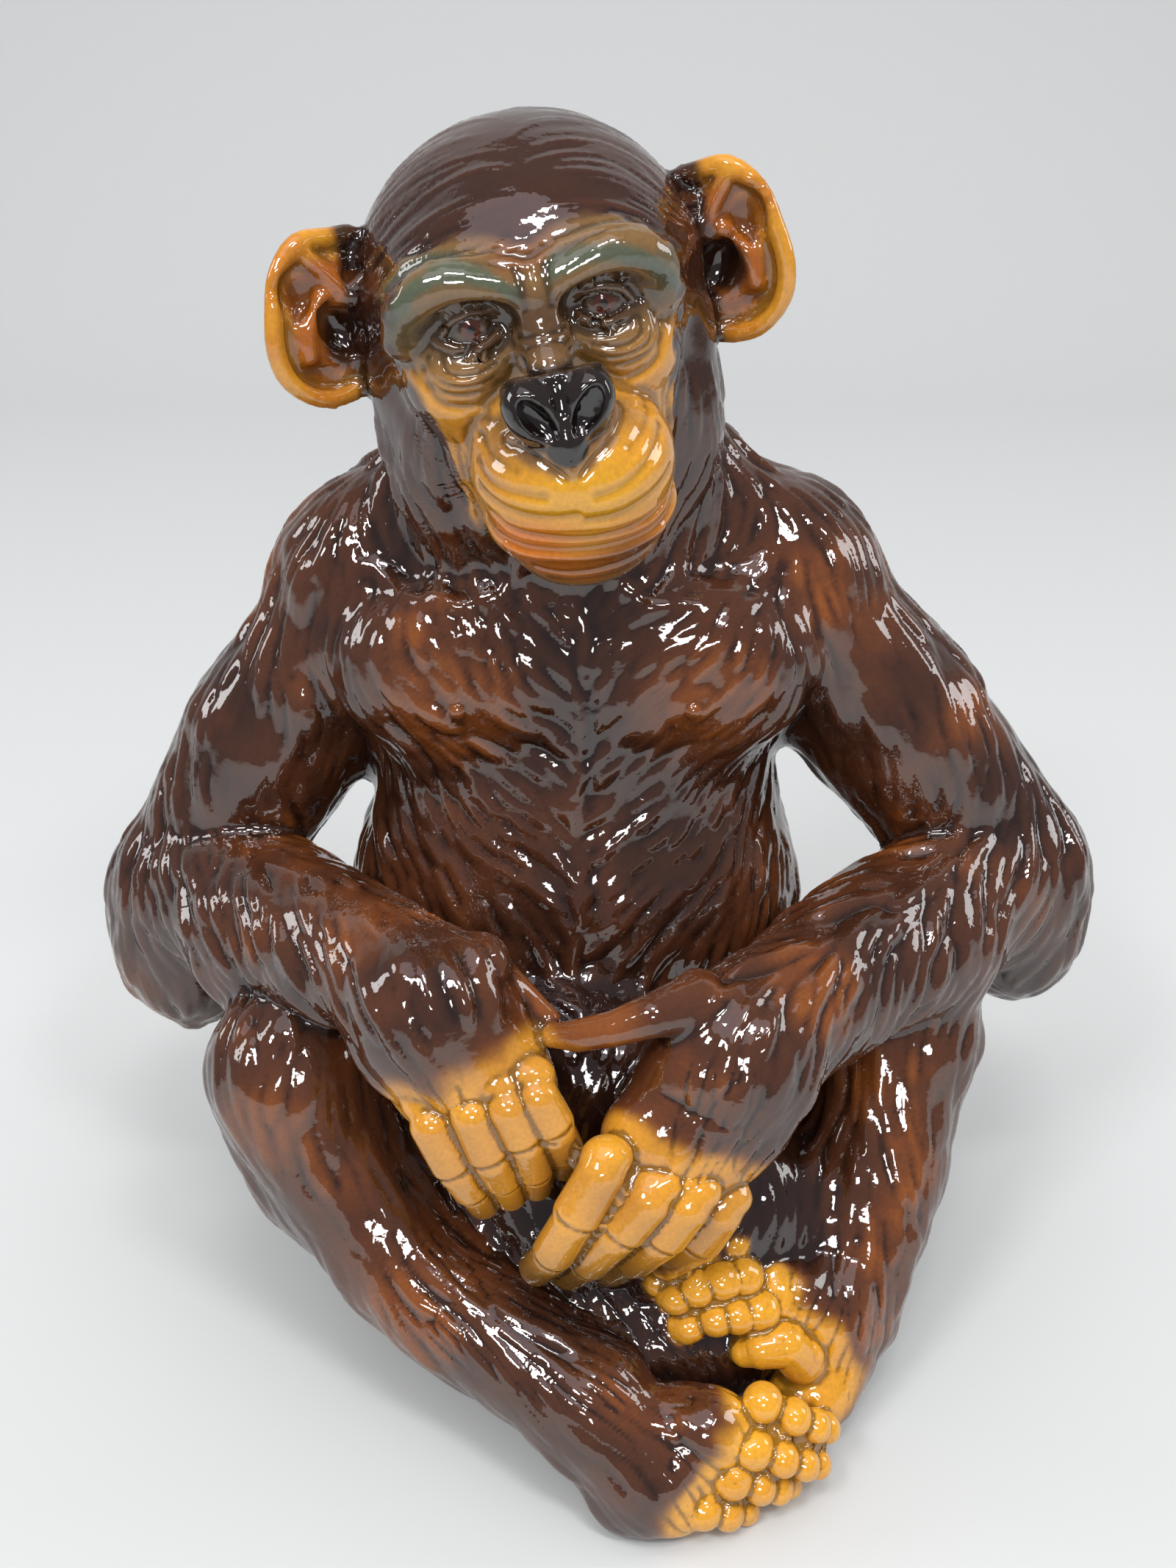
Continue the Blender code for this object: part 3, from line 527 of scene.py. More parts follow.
def feet(clay):
    """The right foot lies in front on its outer edge, the left foot stands behind it."""
    ankle = np.array(RIGHT_ANKLE)
    heel = np.array((14.0, -147.0, 16.0))
    clay.add(Roll([ankle, heel], [ANKLE_RADIUS, 16]), 6)
    clay.add(Ball(Frame((28, -142, 19)), (0, 0, 0), (22, 13, 18), lean=-35), 7)
    clay.add(Ball(Frame((20, -151, 8)), (0, 0, 0), (20, 11, 9)), 5)
    clay.add(Ball(Frame((51, -137, 17)), (0, 0, 0), (13, 10.5, 13), lean=-35), 4)
    rows = [
        [(49.0, -140, 34.0), (58.0, -142, 30.6), (64.4, -141, 25.6), (68.5, -137, 19.6)],
        [(46.5, -148, 24.6), (54.4, -149, 21.8), (61.0, -147.5, 17.6), (65.7, -143, 11.8)],
        [(40.4, -152, 17.0), (48.2, -151.5, 13.4), (53.8, -149, 9.4), (57.6, -144.5, 5.4)],
        [(32.2, -156, 9.4), (39.0, -155, 6.8), (44.6, -151, 3.2)],
    ]
    for bumps in rows:
        for i, bump in enumerate(bumps):
            size = TOE_RADIUS - 0.45 * i
            clay.add(Ball(BODY, bump, (size - 0.6 * (i > 0), size, size), lean=-20), 0.9)

    ankle = np.array(LEFT_ANKLE)
    heel = np.array((67.0, -118.0, 14.0))
    clay.add(Roll([ankle, heel], [ANKLE_RADIUS - 1, 13]), 6)
    clay.add(Roll([ankle + (-4, -4, 6), (55, -106, 40)], [16, 12]), 5)
    clay.add(Ball(Frame((39, -103, 44)), (0, 0, 0), (17, 9, 11), lean=12), 4)
    rows = [
        [(42.0, -103, 58.5), (34.0, -106, 57.0), (26.5, -109, 55.5), (20.5, -111, 52.5)],
        [(44.7, -111, 52.6), (38.5, -114, 54.0), (31.3, -116, 52.7), (25.3, -117, 50.3)],
        [(48.9, -117, 45.2), (43.0, -119, 45.4), (36.8, -120, 45.0), (29.2, -120.5, 42.6)],
    ]
    for bumps in rows:
        for i, bump in enumerate(bumps):
            size = TOE_RADIUS + 0.3 - 0.35 * i
            clay.add(Ball(BODY, bump, (size, size, size - 0.7)), 0.8)
    big = [(66, -116, 20), (62, -120, 29), (57, -122, 36.5), (50, -123.5, 36.5), (45.5, -123, 34.5)]
    clay.add(Roll(big, [8.0, 7.0, 6.4, 5.6, 4.2]), 1.5)


def lap(clay):
    """The clay left between hands, belly and shins, where a mould can't reach."""
    clay.add(Ball(BODY, (-6, -66, 84), (46, 34, 40)), 8)
    clay.add(Ball(BODY, (16, -78, 48), (62, 36, 36)), 8)
    clay.add(Ball(BODY, (22, -100, 24), (46, 27, 25)), 6)
    clay.add(Ball(BODY, (0, -24, 22), (66, 80, 28)), 10)


def head_frame():
    return Frame(HEAD_CENTRE, rotation(turn=HEAD_TURN, lean=HEAD_LEAN))


def skull(clay, head):
    """Cranium, cheeks, jaw and the side whiskers that run into the neck."""
    off = SKULL_OFFSET
    clay.add(Ball(head, (off, 6, 6), CRANIUM), 10)
    clay.add(Ball(head, (off, 14, -14), (43, 36, 36)), 14)
    clay.add(Ball(head, (0.5, -24, 12), (FACE_HALF_WIDTH, 20, 25)), 12)
    clay.add(Ball(head, (0, -18, -14), (33, 22, 28)), 10)
    for side in (-1, 1):
        whisker = (off + side * 34 - 1, -4, -28)
        clay.add(Ball(head, whisker, (13, 20, 30), lean=side * 4), 9)
        clay.add(Ball(head, (side * 21, -31, -3), (13, 12, 13)), 7)
    clay.add(Ball(head, (2, -2, -44), (36, 28, 18)), 10)


def brow(clay, head):
    """The two broad arched ridges over the eyes, with the frown between them."""
    for side in (-1, 1):
        arch = [(34, -35, 10), (30, -40, 19), (20, -43.5, 23), (9, -44.5, 20), (3.5, -44, 18)]
        points = arc([head.at(side * x, y, z) for x, y, z in arch], 3)
        radii = np.interp(np.linspace(0, 1, len(points)), (0, 0.3, 1), (4, BROW_RADIUS, 3.6))
        clay.add(Roll(points, radii), 6)


def muzzle(clay, head):
    """Upper lip, lower lip and chin."""
    clay.add(Ball(head, (3, -38.5, -27), MUZZLE), 6)
    clay.add(Ball(head, (3.5, -35, -41), (25.0, 25, 13.5)), 5)
    clay.add(Ball(head, (3, -41, -48.5), (17, 15, 10.5)), 5)


def nose(clay, head):
    """The bridge and the two broad wings that meet in a heart."""
    clay.add(Roll([head.at(0, -42.5, 11), head.at(0, -51, 1)], [3.8, 5.6]), 8)
    clay.add(Ball(head, (0, -57, -8.5), (11.0, 7.5, 10.5)), 2.5)
    for side in (-1, 1):
        wing = (side * 6.9, -58.5, -6.0)
        clay.add(Ball(head, wing, (6.6, 8.0, 8.6), lean=side * 22), 2.0)
    clay.add(Ball(head, (0, -61.0, -14.5), (4.6, 5.4, 5.4)), 3.0)
    for side in (-1, 1):
        hole = (side * 6.2, -66.6, -6.6)
        clay.press(Ball(head, hole, (3.4, 5.4, 7.0), lean=side * 34), 1.2)
    clay.line([head.at(0, -64, 3), head.at(0, -68, -4)], 1.6, 1.5)


def eyes(clay, head):
    """Sockets, eyeballs, the lids around them and the bags below."""
    for side in (-1, 1):
        bag = (side * 18.5, -36.5, 0.5)
        clay.add(Ball(head, bag, (12.0, 8.5, 8.0), lean=side * -6), 2.5)
        eye = head.turned(side * EYE_SPREAD, -41.5, EYE_LEVEL, lean=side * 8)
        clay.press(Ball(eye, (0, -4.6, 0.6), (10.8, 6.2, 6.8)), 3)
        clay.add(Ball(eye, (0, 5.2, 0), [EYE_RADIUS] * 3), 1.0)
        for lid, lift in ((-1, 4.2), (1, 4.7)):
            edge = [(-8.2, 1.5, -0.3), (-5.2, -1.2, lid * lift * 0.72), (0, -2.5, lid * lift)]
            edge += [(5.2, -1.2, lid * lift * 0.72), (8.2, 1.5, -0.3)]
            clay.add(Roll(arc([eye.at(*e) for e in edge], 2), 1.15), 1.2)


def ears(clay, head):
    """Large ears that stand out, each a hollowed leaf with a rolled rim."""
    wide = EAR_WIDTH
    for side in (-1, 1):
        tall = (EAR_HEIGHT + 1.5 * side) / 2
        root = (SKULL_OFFSET + side * 40.5 - (side < 0) * 2.5, 5, 9.0 - side * 1.5)
        ear = head.turned(*root, turn=-side * EAR_CUP)

        def at(x, y, z):
            return ear.at(side * x * wide, y, z * tall)

        clay.add(Ball(ear, (side * wide * 0.52, 1.5, 0), (wide * 0.44, 4.4, tall * 0.94)), 4)
        clay.add(Ball(ear, (side * wide * 0.20, 3.0, -1), (wide * 0.3, 6.0, tall * 0.80)), 6)
        rim = [(-0.05, 1, 0.86), (0.25, 0, 0.95), (0.55, -1, 1.00), (0.80, -2, 0.72), (0.92, -2, 0.28)]
        rim += [(0.99, -2, -0.20), (0.93, -2, -0.62), (0.68, -2, -0.96), (0.36, -1, -1.03), (0.02, 0, -0.96)]
        clay.add(Roll(arc([at(*place) for place in rim], 3), EAR_RIM_RADIUS), 2.0)
        front = [at(0.55, -1.5, 0.90), at(0.38, -3, 0.55), at(0.22, -4, 0.22)]
        clay.add(Roll(arc(front, 3), 2.0), 2.0)
        for centre, radii, lean in (
            ((0.66, -5.0, 0.36), (0.21, 6.0, 0.42), 18),
            ((0.62, -4.6, -0.66), (0.24, 4.6, 0.20), -30),
            ((0.14, -4.5, 0.50), (0.10, 4.0, 0.26), 10),
        ):
            hollow = (side * wide * centre[0], centre[1], tall * centre[2])
            sizes = (wide * radii[0], radii[1], tall * radii[2])
            clay.press(Ball(ear, hollow, sizes, lean=side * lean), 2.0)
        ridge = [at(0.50, -3, 0.25), at(0.66, -3, -0.08), at(0.70, -3, -0.38)]
        clay.add(Roll(arc(ridge, 3), 1.5), 4.0)
        concha = (side * wide * 0.38, -4.5, -0.16 * tall)
        clay.press(Ball(ear, concha, (5.2, 7.5, 8.2), lean=side * 24), 1.6)
        clay.add(Ball(ear, (side * 3.6, -3.0, -0.42 * tall), (3.2, 3.6, 4.2)), 2.0)


BAGS = (
    (1.0, 0.75, [(26, 9.6), (22.8, 9.0), (20.1, 6.4), (15.9, 4.8), (11.3, 5.4), (7.9, 7.2)]),
    (1.0, 0.65, [(25.4, 6.6), (24.4, 3.1), (22.4, 1.7), (19.8, 0.9), (15.7, 1.0), (11.8, 2.5)]),
    (1.0, -0.5, [(26.2, 6.4), (25.6, 2.4), (23, 0.5), (19.3, -0.2), (14.7, 0.3), (10.9, 2.4)]),
    (1.0, 0.65, [(27.2, 6.3), (26.8, 1.7), (23.6, -0.7), (18.8, -1.4), (13.7, -0.7), (9.6, 2.3)]),
    (1.0, -0.5, [(28.2, 6.4), (27.8, 1.0), (24.8, -1.6), (19, -2.4), (13.4, -1.6), (8.8, 2.2)]),
    (1.1, 0.8, [(29.2, 6.5), (28.9, 0.6), (26, -2.6), (19.1, -3.6), (13.2, -2.6), (8.2, 2.1), (6.6, 6)]),
    (1.5, 1.0, [(32.4, 3.7), (31.2, -2.1), (28, -5.6), (22.6, -7.3), (16.6, -7.2), (11, -4), (7.6, 0)]),
    (1.0, 0.7, [(26, 10), (23.4, 14), (21.3, 16.6), (17.5, 17.9), (13.5, 17), (10.6, 14.4), (8, 9.5)]),
)
MUZZLE_FOLDS = (
    (1.5, 1.9, [(-23, -38, -37.5), (-19, -46, -40.2), (-10, -58, -42.4), (1, -62, -43.7),
                (11, -59, -43.7), (19, -50, -42), (28, -38, -38)]),
    (1.2, -0.7, [(-18, -47, -42.2), (-10, -58, -44.8), (1, -61, -46.2), (11, -58, -46), (20, -49, -44)]),
    (1.2, 0.9, [(-20, -48, -32.6), (-16, -54, -36), (-8.9, -60, -37.8), (0, -62, -39.4),
                (9, -60, -39.6), (17, -53, -38.6), (24, -44, -36)]),
    (1.5, 0.8, [(-20.5, -46, -26), (-17.4, -55, -29.4), (-9.9, -62, -31.6), (-1, -65, -32)]),
    (1.5, 0.8, [(2, -65, -34), (9, -63, -34), (15, -59, -32.4), (22, -50, -29)]),
    (1.5, 0.7, [(-21, -44, -20), (-19.8, -51, -23), (-16, -57, -24.6), (-8, -63.5, -26)]),
    (1.5, 0.7, [(5, -65, -27.6), (11, -63, -27), (18, -56, -24), (23, -48, -20)]),
    (1.6, 0.5, [(-21, -44, -14), (-18, -52, -17.6), (-13, -58, -19.8)]),
    (1.6, 0.5, [(24, -42, -13), (20, -50, -17.6), (14, -58, -20.4)]),
    (1.3, -0.5, [(-17, -52, -33.6), (-9, -60, -35), (0, -63, -35.8), (9, -61, -36.6), (17, -54, -35)]),
    (1.2, 0.6, [(-13, -52, -48.5), (0, -58, -50.6), (8, -58, -50.6), (18, -50, -48)]),
    (1.2, 0.5, [(-9, -52, -52.5), (2, -56, -54), (13, -52, -52.5)]),
)


def face_folds(clay, head):
    """Bags under the eyes, frown, brow edge, mouth and the wrinkles that follow it."""
    for side in (-1, 1):
        for width, depth, bag in BAGS:
            points = [head.at(side * x, -44, z) for x, z in bag]
            clay.line(arc(points, 3), width, depth * 1.35)
        iris = np.array(head.at(side * 16.2, -44, 11.3))
        across, up = head.axes[:, 0], head.axes[:, 2]
        ring = [
            iris + (across * math.cos(a) + up * math.sin(a)) * 2.5
            for a in np.linspace(0, 2 * math.pi, 9)
        ]
        clay.line(ring, 0.8, 0.5)
        edge = [(37, -30, 2), (37.5, -33, 14), (33, -38, 24), (21, -42, 31), (8, -44, 28), (1, -45, 24)]
        points = [head.at(side * x, y, z) for x, y, z in edge]
        clay.line(arc(points, 3), 1.5, -0.7)
        clay.line(arc([head.at(side * 3.2, -48, z) for z in (15, 20, 26)], 2), 1.2, 0.6)
        smile = [(9, -50, 3), (15, -46, -6), (22, -40, -14), (25, -36, -24)]
        clay.line(arc([head.at(side * x, y, z) for x, y, z in smile], 3), 1.8, 1.0)
        rim = [(1.5, -60, 2.5), (6, -60, 4.4), (11.5, -58, 1.6), (14.2, -52, -6), (13.4, -52, -12),
               (9.4, -61, -15), (4, -64, -18), (0.3, -66, -21)]
        points = np.array([head.at(side * x, y, z) for x, y, z in rim])
        clay.line(arc(points, 3), 1.2, -1.0)
        clay.line(arc(points + head.axes[:, 2] * -0.6 + head.axes[:, 0] * side * 2.1, 3), 1.1, 0.7)
        cheek = [(12, -48, -1), (19, -44, -3), (27, -38, 0), (32, -34, 6)]
        clay.line(arc([head.at(side * x, y, z) for x, y, z in cheek], 3), 1.6, 0.5)
    clay.line(arc([head.at(0, -48, z) for z in (17, 22, 27)], 2), 1.2, -0.5)
    for k in range(3):
        across = [(-7, -47, 9 - 3 * k), (0, -50, 8 - 3 * k), (7, -47, 9 - 3 * k)]
        clay.line(arc([head.at(*p) for p in across], 2), 1.0, 0.45)
    for width, depth, fold in MUZZLE_FOLDS:
        clay.line(arc([head.at(*p) for p in fold], 4), width, depth)


def skin_folds(clay):
    """Creases at the knuckles and the root of the neck."""
    joints = [
        shape
        for kind, shape, blend, _ in clay.steps
        if kind == "add" and isinstance(shape, Roll) and blend == FINGER_BLEND
    ]
    for finger in joints:
        end, size = finger.points[1], finger.radii[1]
        heading = unit(finger.points[1] - finger.points[0])
        across = unit(np.cross(heading, (0, -1, 0)))
        front = np.cross(across, heading)
        front *= -np.sign(front[1])
        crease = [
            end + heading * 1.6 + (across * math.cos(t) + front * math.sin(t)) * size
            for t in np.linspace(0.35, math.pi - 0.35, 6)
        ]
        clay.line(crease, 0.9, 0.75)
    for side in (-1, 1):
        collar = [(6, -48, 240), (24, -46, 236), (42, -34, 234), (56, -20, 236)]
        clay.line(arc([(-6 + side * x, y, z) for x, y, z in collar], 3), 2.6, -1.1)


def figure():
    """All the clay, with the name of the region that each step belongs to."""
    clay, head, regions = Clay(), head_frame(), []

    def shape(name, build, *args):
        build(clay, *args)
        regions.extend([name] * (len(clay.steps) - len(regions)))

    shape("body", trunk)
    shape("leg", legs)
    shape("lap", lap)
    shape("arm", arms)
    shape("hand", hands)
    shape("foot", feet)
    shape("head", skull, head)
    shape("face", brow, head)
    shape("face", muzzle, head)
    shape("nose", nose, head)
    shape("face", eyes, head)
    shape("face", face_folds, head)
    shape("ear", ears, head)
    shape("body", trunk_folds)
    shape("body", skin_folds)
    return clay, head, regions


def grain(p, size, seed):
    """Smooth random values from -1 to 1 that change over the given size."""
    q = p / size + seed * 17.31
    cell = np.floor(q).astype(np.int64)
    f = q - cell
    f = f * f * (3 - 2 * f)
    total = np.zeros(len(p))
    for corner in product((0, 1), repeat=3):
        a, b, c = (cell + corner).T
        h = (a * 73856093) ^ (b * 19349663) ^ (c * 83492791) ^ (seed * 2654435)
        h = (h ^ (h >> 13)) * 1274126177 & 0x7FFFFFFF
        u, v, w = np.where(corner, f, 1 - f).T
        total += u * v * w * ((h >> 8) / 0x3FFFFF - 1)
    return total


def ease(value, low, high):
    """0 below low, 1 above high and smooth between them, also where low is the larger."""
    t = np.clip((value - low) / (high - low), 0, 1)
    return t * t * (3 - 2 * t)


class Skin:
    """Vertices of the finished mesh with normals, neighbours and smoothing."""

    def __init__(self, mesh):
        self.mesh = mesh
        self.n = len(mesh.vertices)
        self.p = numbers(mesh.vertices, "co", 3, np.float32).astype(float)
        a, b = numbers(mesh.edges, "vertices", 2).T
        self.near, self.far = np.hstack([a, b]), np.hstack([b, a])
        self.count = np.bincount(self.near, minlength=self.n)
        self.read_normals()

    def read_normals(self):
        self.normal = numbers(self.mesh.vertex_normals, "vector", 3, np.float32).astype(float)

    def write(self):
        self.mesh.vertices.foreach_set("co", self.p.astype(np.float32).ravel())
        self.mesh.update()
        self.read_normals()

    def smooth(self, values, rounds=1):
        for _ in range(rounds):
            if values.ndim == 1:
                sums = np.bincount(self.near, values[self.far], self.n)
                values = (values + sums) / (1 + self.count)
            else:
                values = np.column_stack([self.smooth(values[:, k]) for k in range(values.shape[1])])
        return values

    def hollow(self, rounds=2):
        """Above 0 in grooves and below 0 on ridges."""
        away = self.smooth(self.p) - self.p
        span = np.linalg.norm(self.p[self.far] - self.p[self.near], axis=1)
        mean = np.bincount(self.near, span, self.n) / self.count
        return self.smooth((away * self.normal).sum(1) / np.maximum(mean, 0.2) ** 2, rounds)


def bone(p, a, b):
    """Distance of points from a straight bone, its direction, and how far along they lie."""
    a, b = np.array(a, float), np.array(b, float)
    along = b - a
    share = np.clip((p - a) @ along / (along @ along), 0, 1)
    return np.linalg.norm(p - a - share[:, None] * along, axis=1), unit(along), share


def flow(p, normal, local, head):
    """The way the hair lies at each point, and its lock size: half width, length, height."""
    down = np.array((0.0, 0.0, -1.0))
    total = np.zeros_like(p)
    size = np.zeros((len(p), 3))
    weight_sum = np.zeros(len(p))

    def lay(distance, direction, lock, reach=7.0):
        nonlocal total, size, weight_sum
        weight = np.exp(-np.maximum(distance, 0) / reach)
        total += weight[:, None] * direction
        size += weight[:, None] * np.array(lock)
        weight_sum += weight

    for side, shoulder, elbow, wrist in (
        (-1, RIGHT_SHOULDER, RIGHT_ELBOW, RIGHT_WRIST),
        (1, LEFT_SHOULDER, LEFT_ELBOW, LEFT_WRIST),
    ):
        d, along, _ = bone(p, shoulder, elbow)
        lay(d - 22, along * 0.9 + down * 0.2 + np.array((-side * 0.35, -0.1, 0)), (2.5, 20, 1.25))
        d, along, _ = bone(p, elbow, wrist)
        lay(d - 22, along * 0.75 + down * 0.9, (2.4, 19, 1.3))
    for knee, calf, ankle in ((RIGHT_KNEE, RIGHT_CALF, RIGHT_ANKLE), (LEFT_KNEE, LEFT_CALF, LEFT_ANKLE)):
        for a, b in ((knee, calf), (calf, ankle)):
            d, along, _ = bone(p, a, b)
            lay(d - 20, along * 0.9 + down * 0.55, (2.6, 22, 0.95))
        d, along, _ = bone(p, (math.copysign(HIP[0], knee[0]), HIP[1], HIP[2]), knee)
        lay(d - 30, along * 0.8 + down * 0.7, (2.7, 22, 1.05))
    x = p[:, 0] + 3.0
    front = ease(p[:, 1], 5, -25)
    inward = np.tanh(x / 5) * front
    belly = np.column_stack([-inward * 0.85, np.zeros(len(p)), -np.ones(len(p))])
    d, _, _ = bone(p, (0, 0, 90), (-3, 2, 215))
    d_front = d - 52
    lay(np.where(front > 0.5, d_front, 60), belly, (1.9, 13, 0.95))
    back = down + np.column_stack([np.tanh(x / 30) * 0.25, 0 * x, 0 * x])
    lay(np.where(front > 0.5, 60, d_front), back, (2.6, 22, 1.15))
    sx = np.tanh((local[:, 0] - 2) / 4)
    crown = np.column_stack([sx, np.full(len(p), 0.35), np.full(len(p), -0.45)])
    cheek = np.column_stack([-sx * 0.1, np.full(len(p), 0.12), np.full(len(p), -1.0)])
    t = ease(local[:, 2], 6, -14)[:, None]
    way = (crown * (1 - t) + cheek * t) @ head.axes.T
    centre_gap = np.linalg.norm(local / (46, 48, 58), axis=1) * 46 - 46
    lock = np.column_stack([1.25 + 0.25 * t[:, 0], 26 - 8 * t[:, 0], 0.5 + 1.0 * t[:, 0]])
    weight = np.exp(-np.maximum(centre_gap, 0) / 7.0) * 3
    total += weight[:, None] * way
    size += weight[:, None] * lock
    weight_sum += weight
    size /= weight_sum[:, None]
    swirl = np.column_stack([grain(p, 22, s) for s in (3, 4, 5)])
    total = total / np.maximum(np.linalg.norm(total, axis=1), 1e-6)[:, None] + 0.38 * swirl
    total -= (total * normal).sum(1)[:, None] * normal
    return total / np.maximum(np.linalg.norm(total, axis=1), 1e-6)[:, None], size


def comb(surface, way, size, amount, spacing, rng):
    """Raises overlapping locks of hair along the flow. Returns the height at each vertex."""
    order = np.argsort(surface.near, kind="stable")
    start = np.concatenate([[0], np.cumsum(surface.count)])[:-1]
    table = np.empty((surface.n, MOST_NEIGHBOURS), np.int64)
    for k in range(MOST_NEIGHBOURS):
        pick = np.minimum(start + np.minimum(k, surface.count - 1), len(order) - 1)
        table[:, k] = surface.far[order[pick]]
    keep = rng.random(surface.n) < amount.clip(0, 1) * spacing / np.maximum(size[:, 0] * size[:, 1], 1)
    seed = np.nonzero(keep)[0]
    q, current = surface.p[seed].copy(), seed.copy()
    length = size[seed, 1] * rng.uniform(0.7, 1.35, len(seed))
    width = size[seed, 0] * rng.uniform(0.75, 1.3, len(seed))
    height = size[seed, 2] * rng.uniform(0.55, 1.15, len(seed)) * amount[seed]
    rows = []
    heading = way[current]
    for k in range(int(LONGEST_LOCK / LOCK_STEP)):
        t = k * LOCK_STEP / length
        live = t < 1
        if not live.any():
            break
        t = np.clip(t, 0, 1)
        rise = np.sqrt(t + 0.05) * (1 - t**5)
        spread = 0.4 + 0.6 * np.sin(np.pi * (0.12 + 0.8 * t))
        rows.append((q.copy(), width * spread, height * rise, live))
        heading = 0.6 * heading + 0.4 * way[current]
        heading /= np.maximum(np.linalg.norm(heading, axis=1), 1e-6)[:, None]
        q = q + heading * LOCK_STEP
        for _ in range(2):
            options = np.column_stack([current, table[current]])
            gap = np.linalg.norm(surface.p[options] - q[:, None], axis=2)
            current = options[np.arange(len(q)), gap.argmin(1)]
        off = ((q - surface.p[current]) * surface.normal[current]).sum(1)
        q -= off[:, None] * surface.normal[current]
    q = np.vstack([r[0][r[3]] for r in rows])
    width = np.hstack([r[1][r[3]] for r in rows])
    height = np.hstack([r[2][r[3]] for r in rows])
    raised = np.zeros(surface.n)
    low = surface.p.min(0) - 2 * CELL
    shape = np.ceil((surface.p.max(0) + 2 * CELL - low) / CELL).astype(np.int64)

    def key(c):
        return (c[:, 0] * shape[1] + c[:, 1]) * shape[2] + c[:, 2]

    keys = key(np.floor((surface.p - low) / CELL).astype(np.int64))
    by_key = np.argsort(keys, kind="stable")
    sorted_keys = keys[by_key]
    for part in np.array_split(np.arange(len(q)), max(1, len(q) // 40000)):
        home = np.floor((q[part] - low) / CELL).astype(np.int64)
        for aside in product((-1, 0, 1), repeat=3):
            wanted = key(home + aside)
            first = np.searchsorted(sorted_keys, wanted)
            many = np.searchsorted(sorted_keys, wanted, side="right") - first
            if not many.sum():
                continue
            which = np.repeat(np.arange(len(part)), many)
            offset = np.arange(many.sum()) - np.repeat(np.cumsum(many) - many, many)
            verts = by_key[first[which] + offset]
            sample = part[which]
            gap = np.linalg.norm(surface.p[verts] - q[sample], axis=1) / width[sample]
            good = gap < 1
            verts, sample, gap = verts[good], sample[good], gap[good]
            np.maximum.at(raised, verts, height[sample] * (1 - gap**2))
    return raised


def mix(a, b, t):
    return a * (1 - t[:, None]) + b * t[:, None]


def tone(*rgb):
    """A colour given as it looks on screen, from 0 to 255."""
    c = np.array(rgb) / 255
    return np.where(c < 0.04045, c / 12.92, ((c + 0.055) / 1.055) ** 2.4)


NIGHT_BROWN = tone(30, 18, 16)
DARK_BROWN = tone(50, 29, 21)
BROWN = tone(80, 45, 27)
RUST = tone(112, 60, 27)
AMBER = tone(164, 92, 32)
OCHRE = tone(206, 142, 42)
YELLOW = tone(222, 160, 40)
ORANGE = tone(206, 112, 26)
TAN = tone(172, 118, 58)
OLIVE_TAN = tone(112, 84, 50)
SEA_GREEN = tone(68, 82, 68)
UMBER = tone(62, 42, 28)
RIM_GREY = tone(112, 84, 60)
BLACK = tone(27, 20, 18)
IRIS = tone(92, 42, 26)
BRIDGE = tone(112, 82, 46)


AMBER_SPOTS = (
    ((-40, -45, 205), 26),
    ((34, -45, 205), 24),
    ((-84, 6, 168), 26),
    ((88, 4, 172), 26),
    ((-92, -30, 140), 22),
    ((-58, -84, 150), 20),
    ((96, -30, 140), 18),
    ((60, -92, 142), 18),
    ((-88, -92, 96), 20),
    ((-52, -118, 46), 24),
    ((-15, -96, 140), 16),
    ((4, -107, 140), 18),
)


def near_any(p, shapes, start=60.0):
    """Distance to the nearest of some shapes."""
    best = np.full(len(p), start)
    for shape in shapes:
        box = ((p > shape.low - 14) & (p < shape.high + 14)).all(1)
        at = np.nonzero(box)[0]
        if len(at):
            best[at] = np.minimum(best[at], shape.distance(p[at]))
    return best


def band(value, centre, inner, outer):
    """1 within inner of the centre, 0 beyond outer."""
    return ease(np.abs(value - centre), outer, inner)


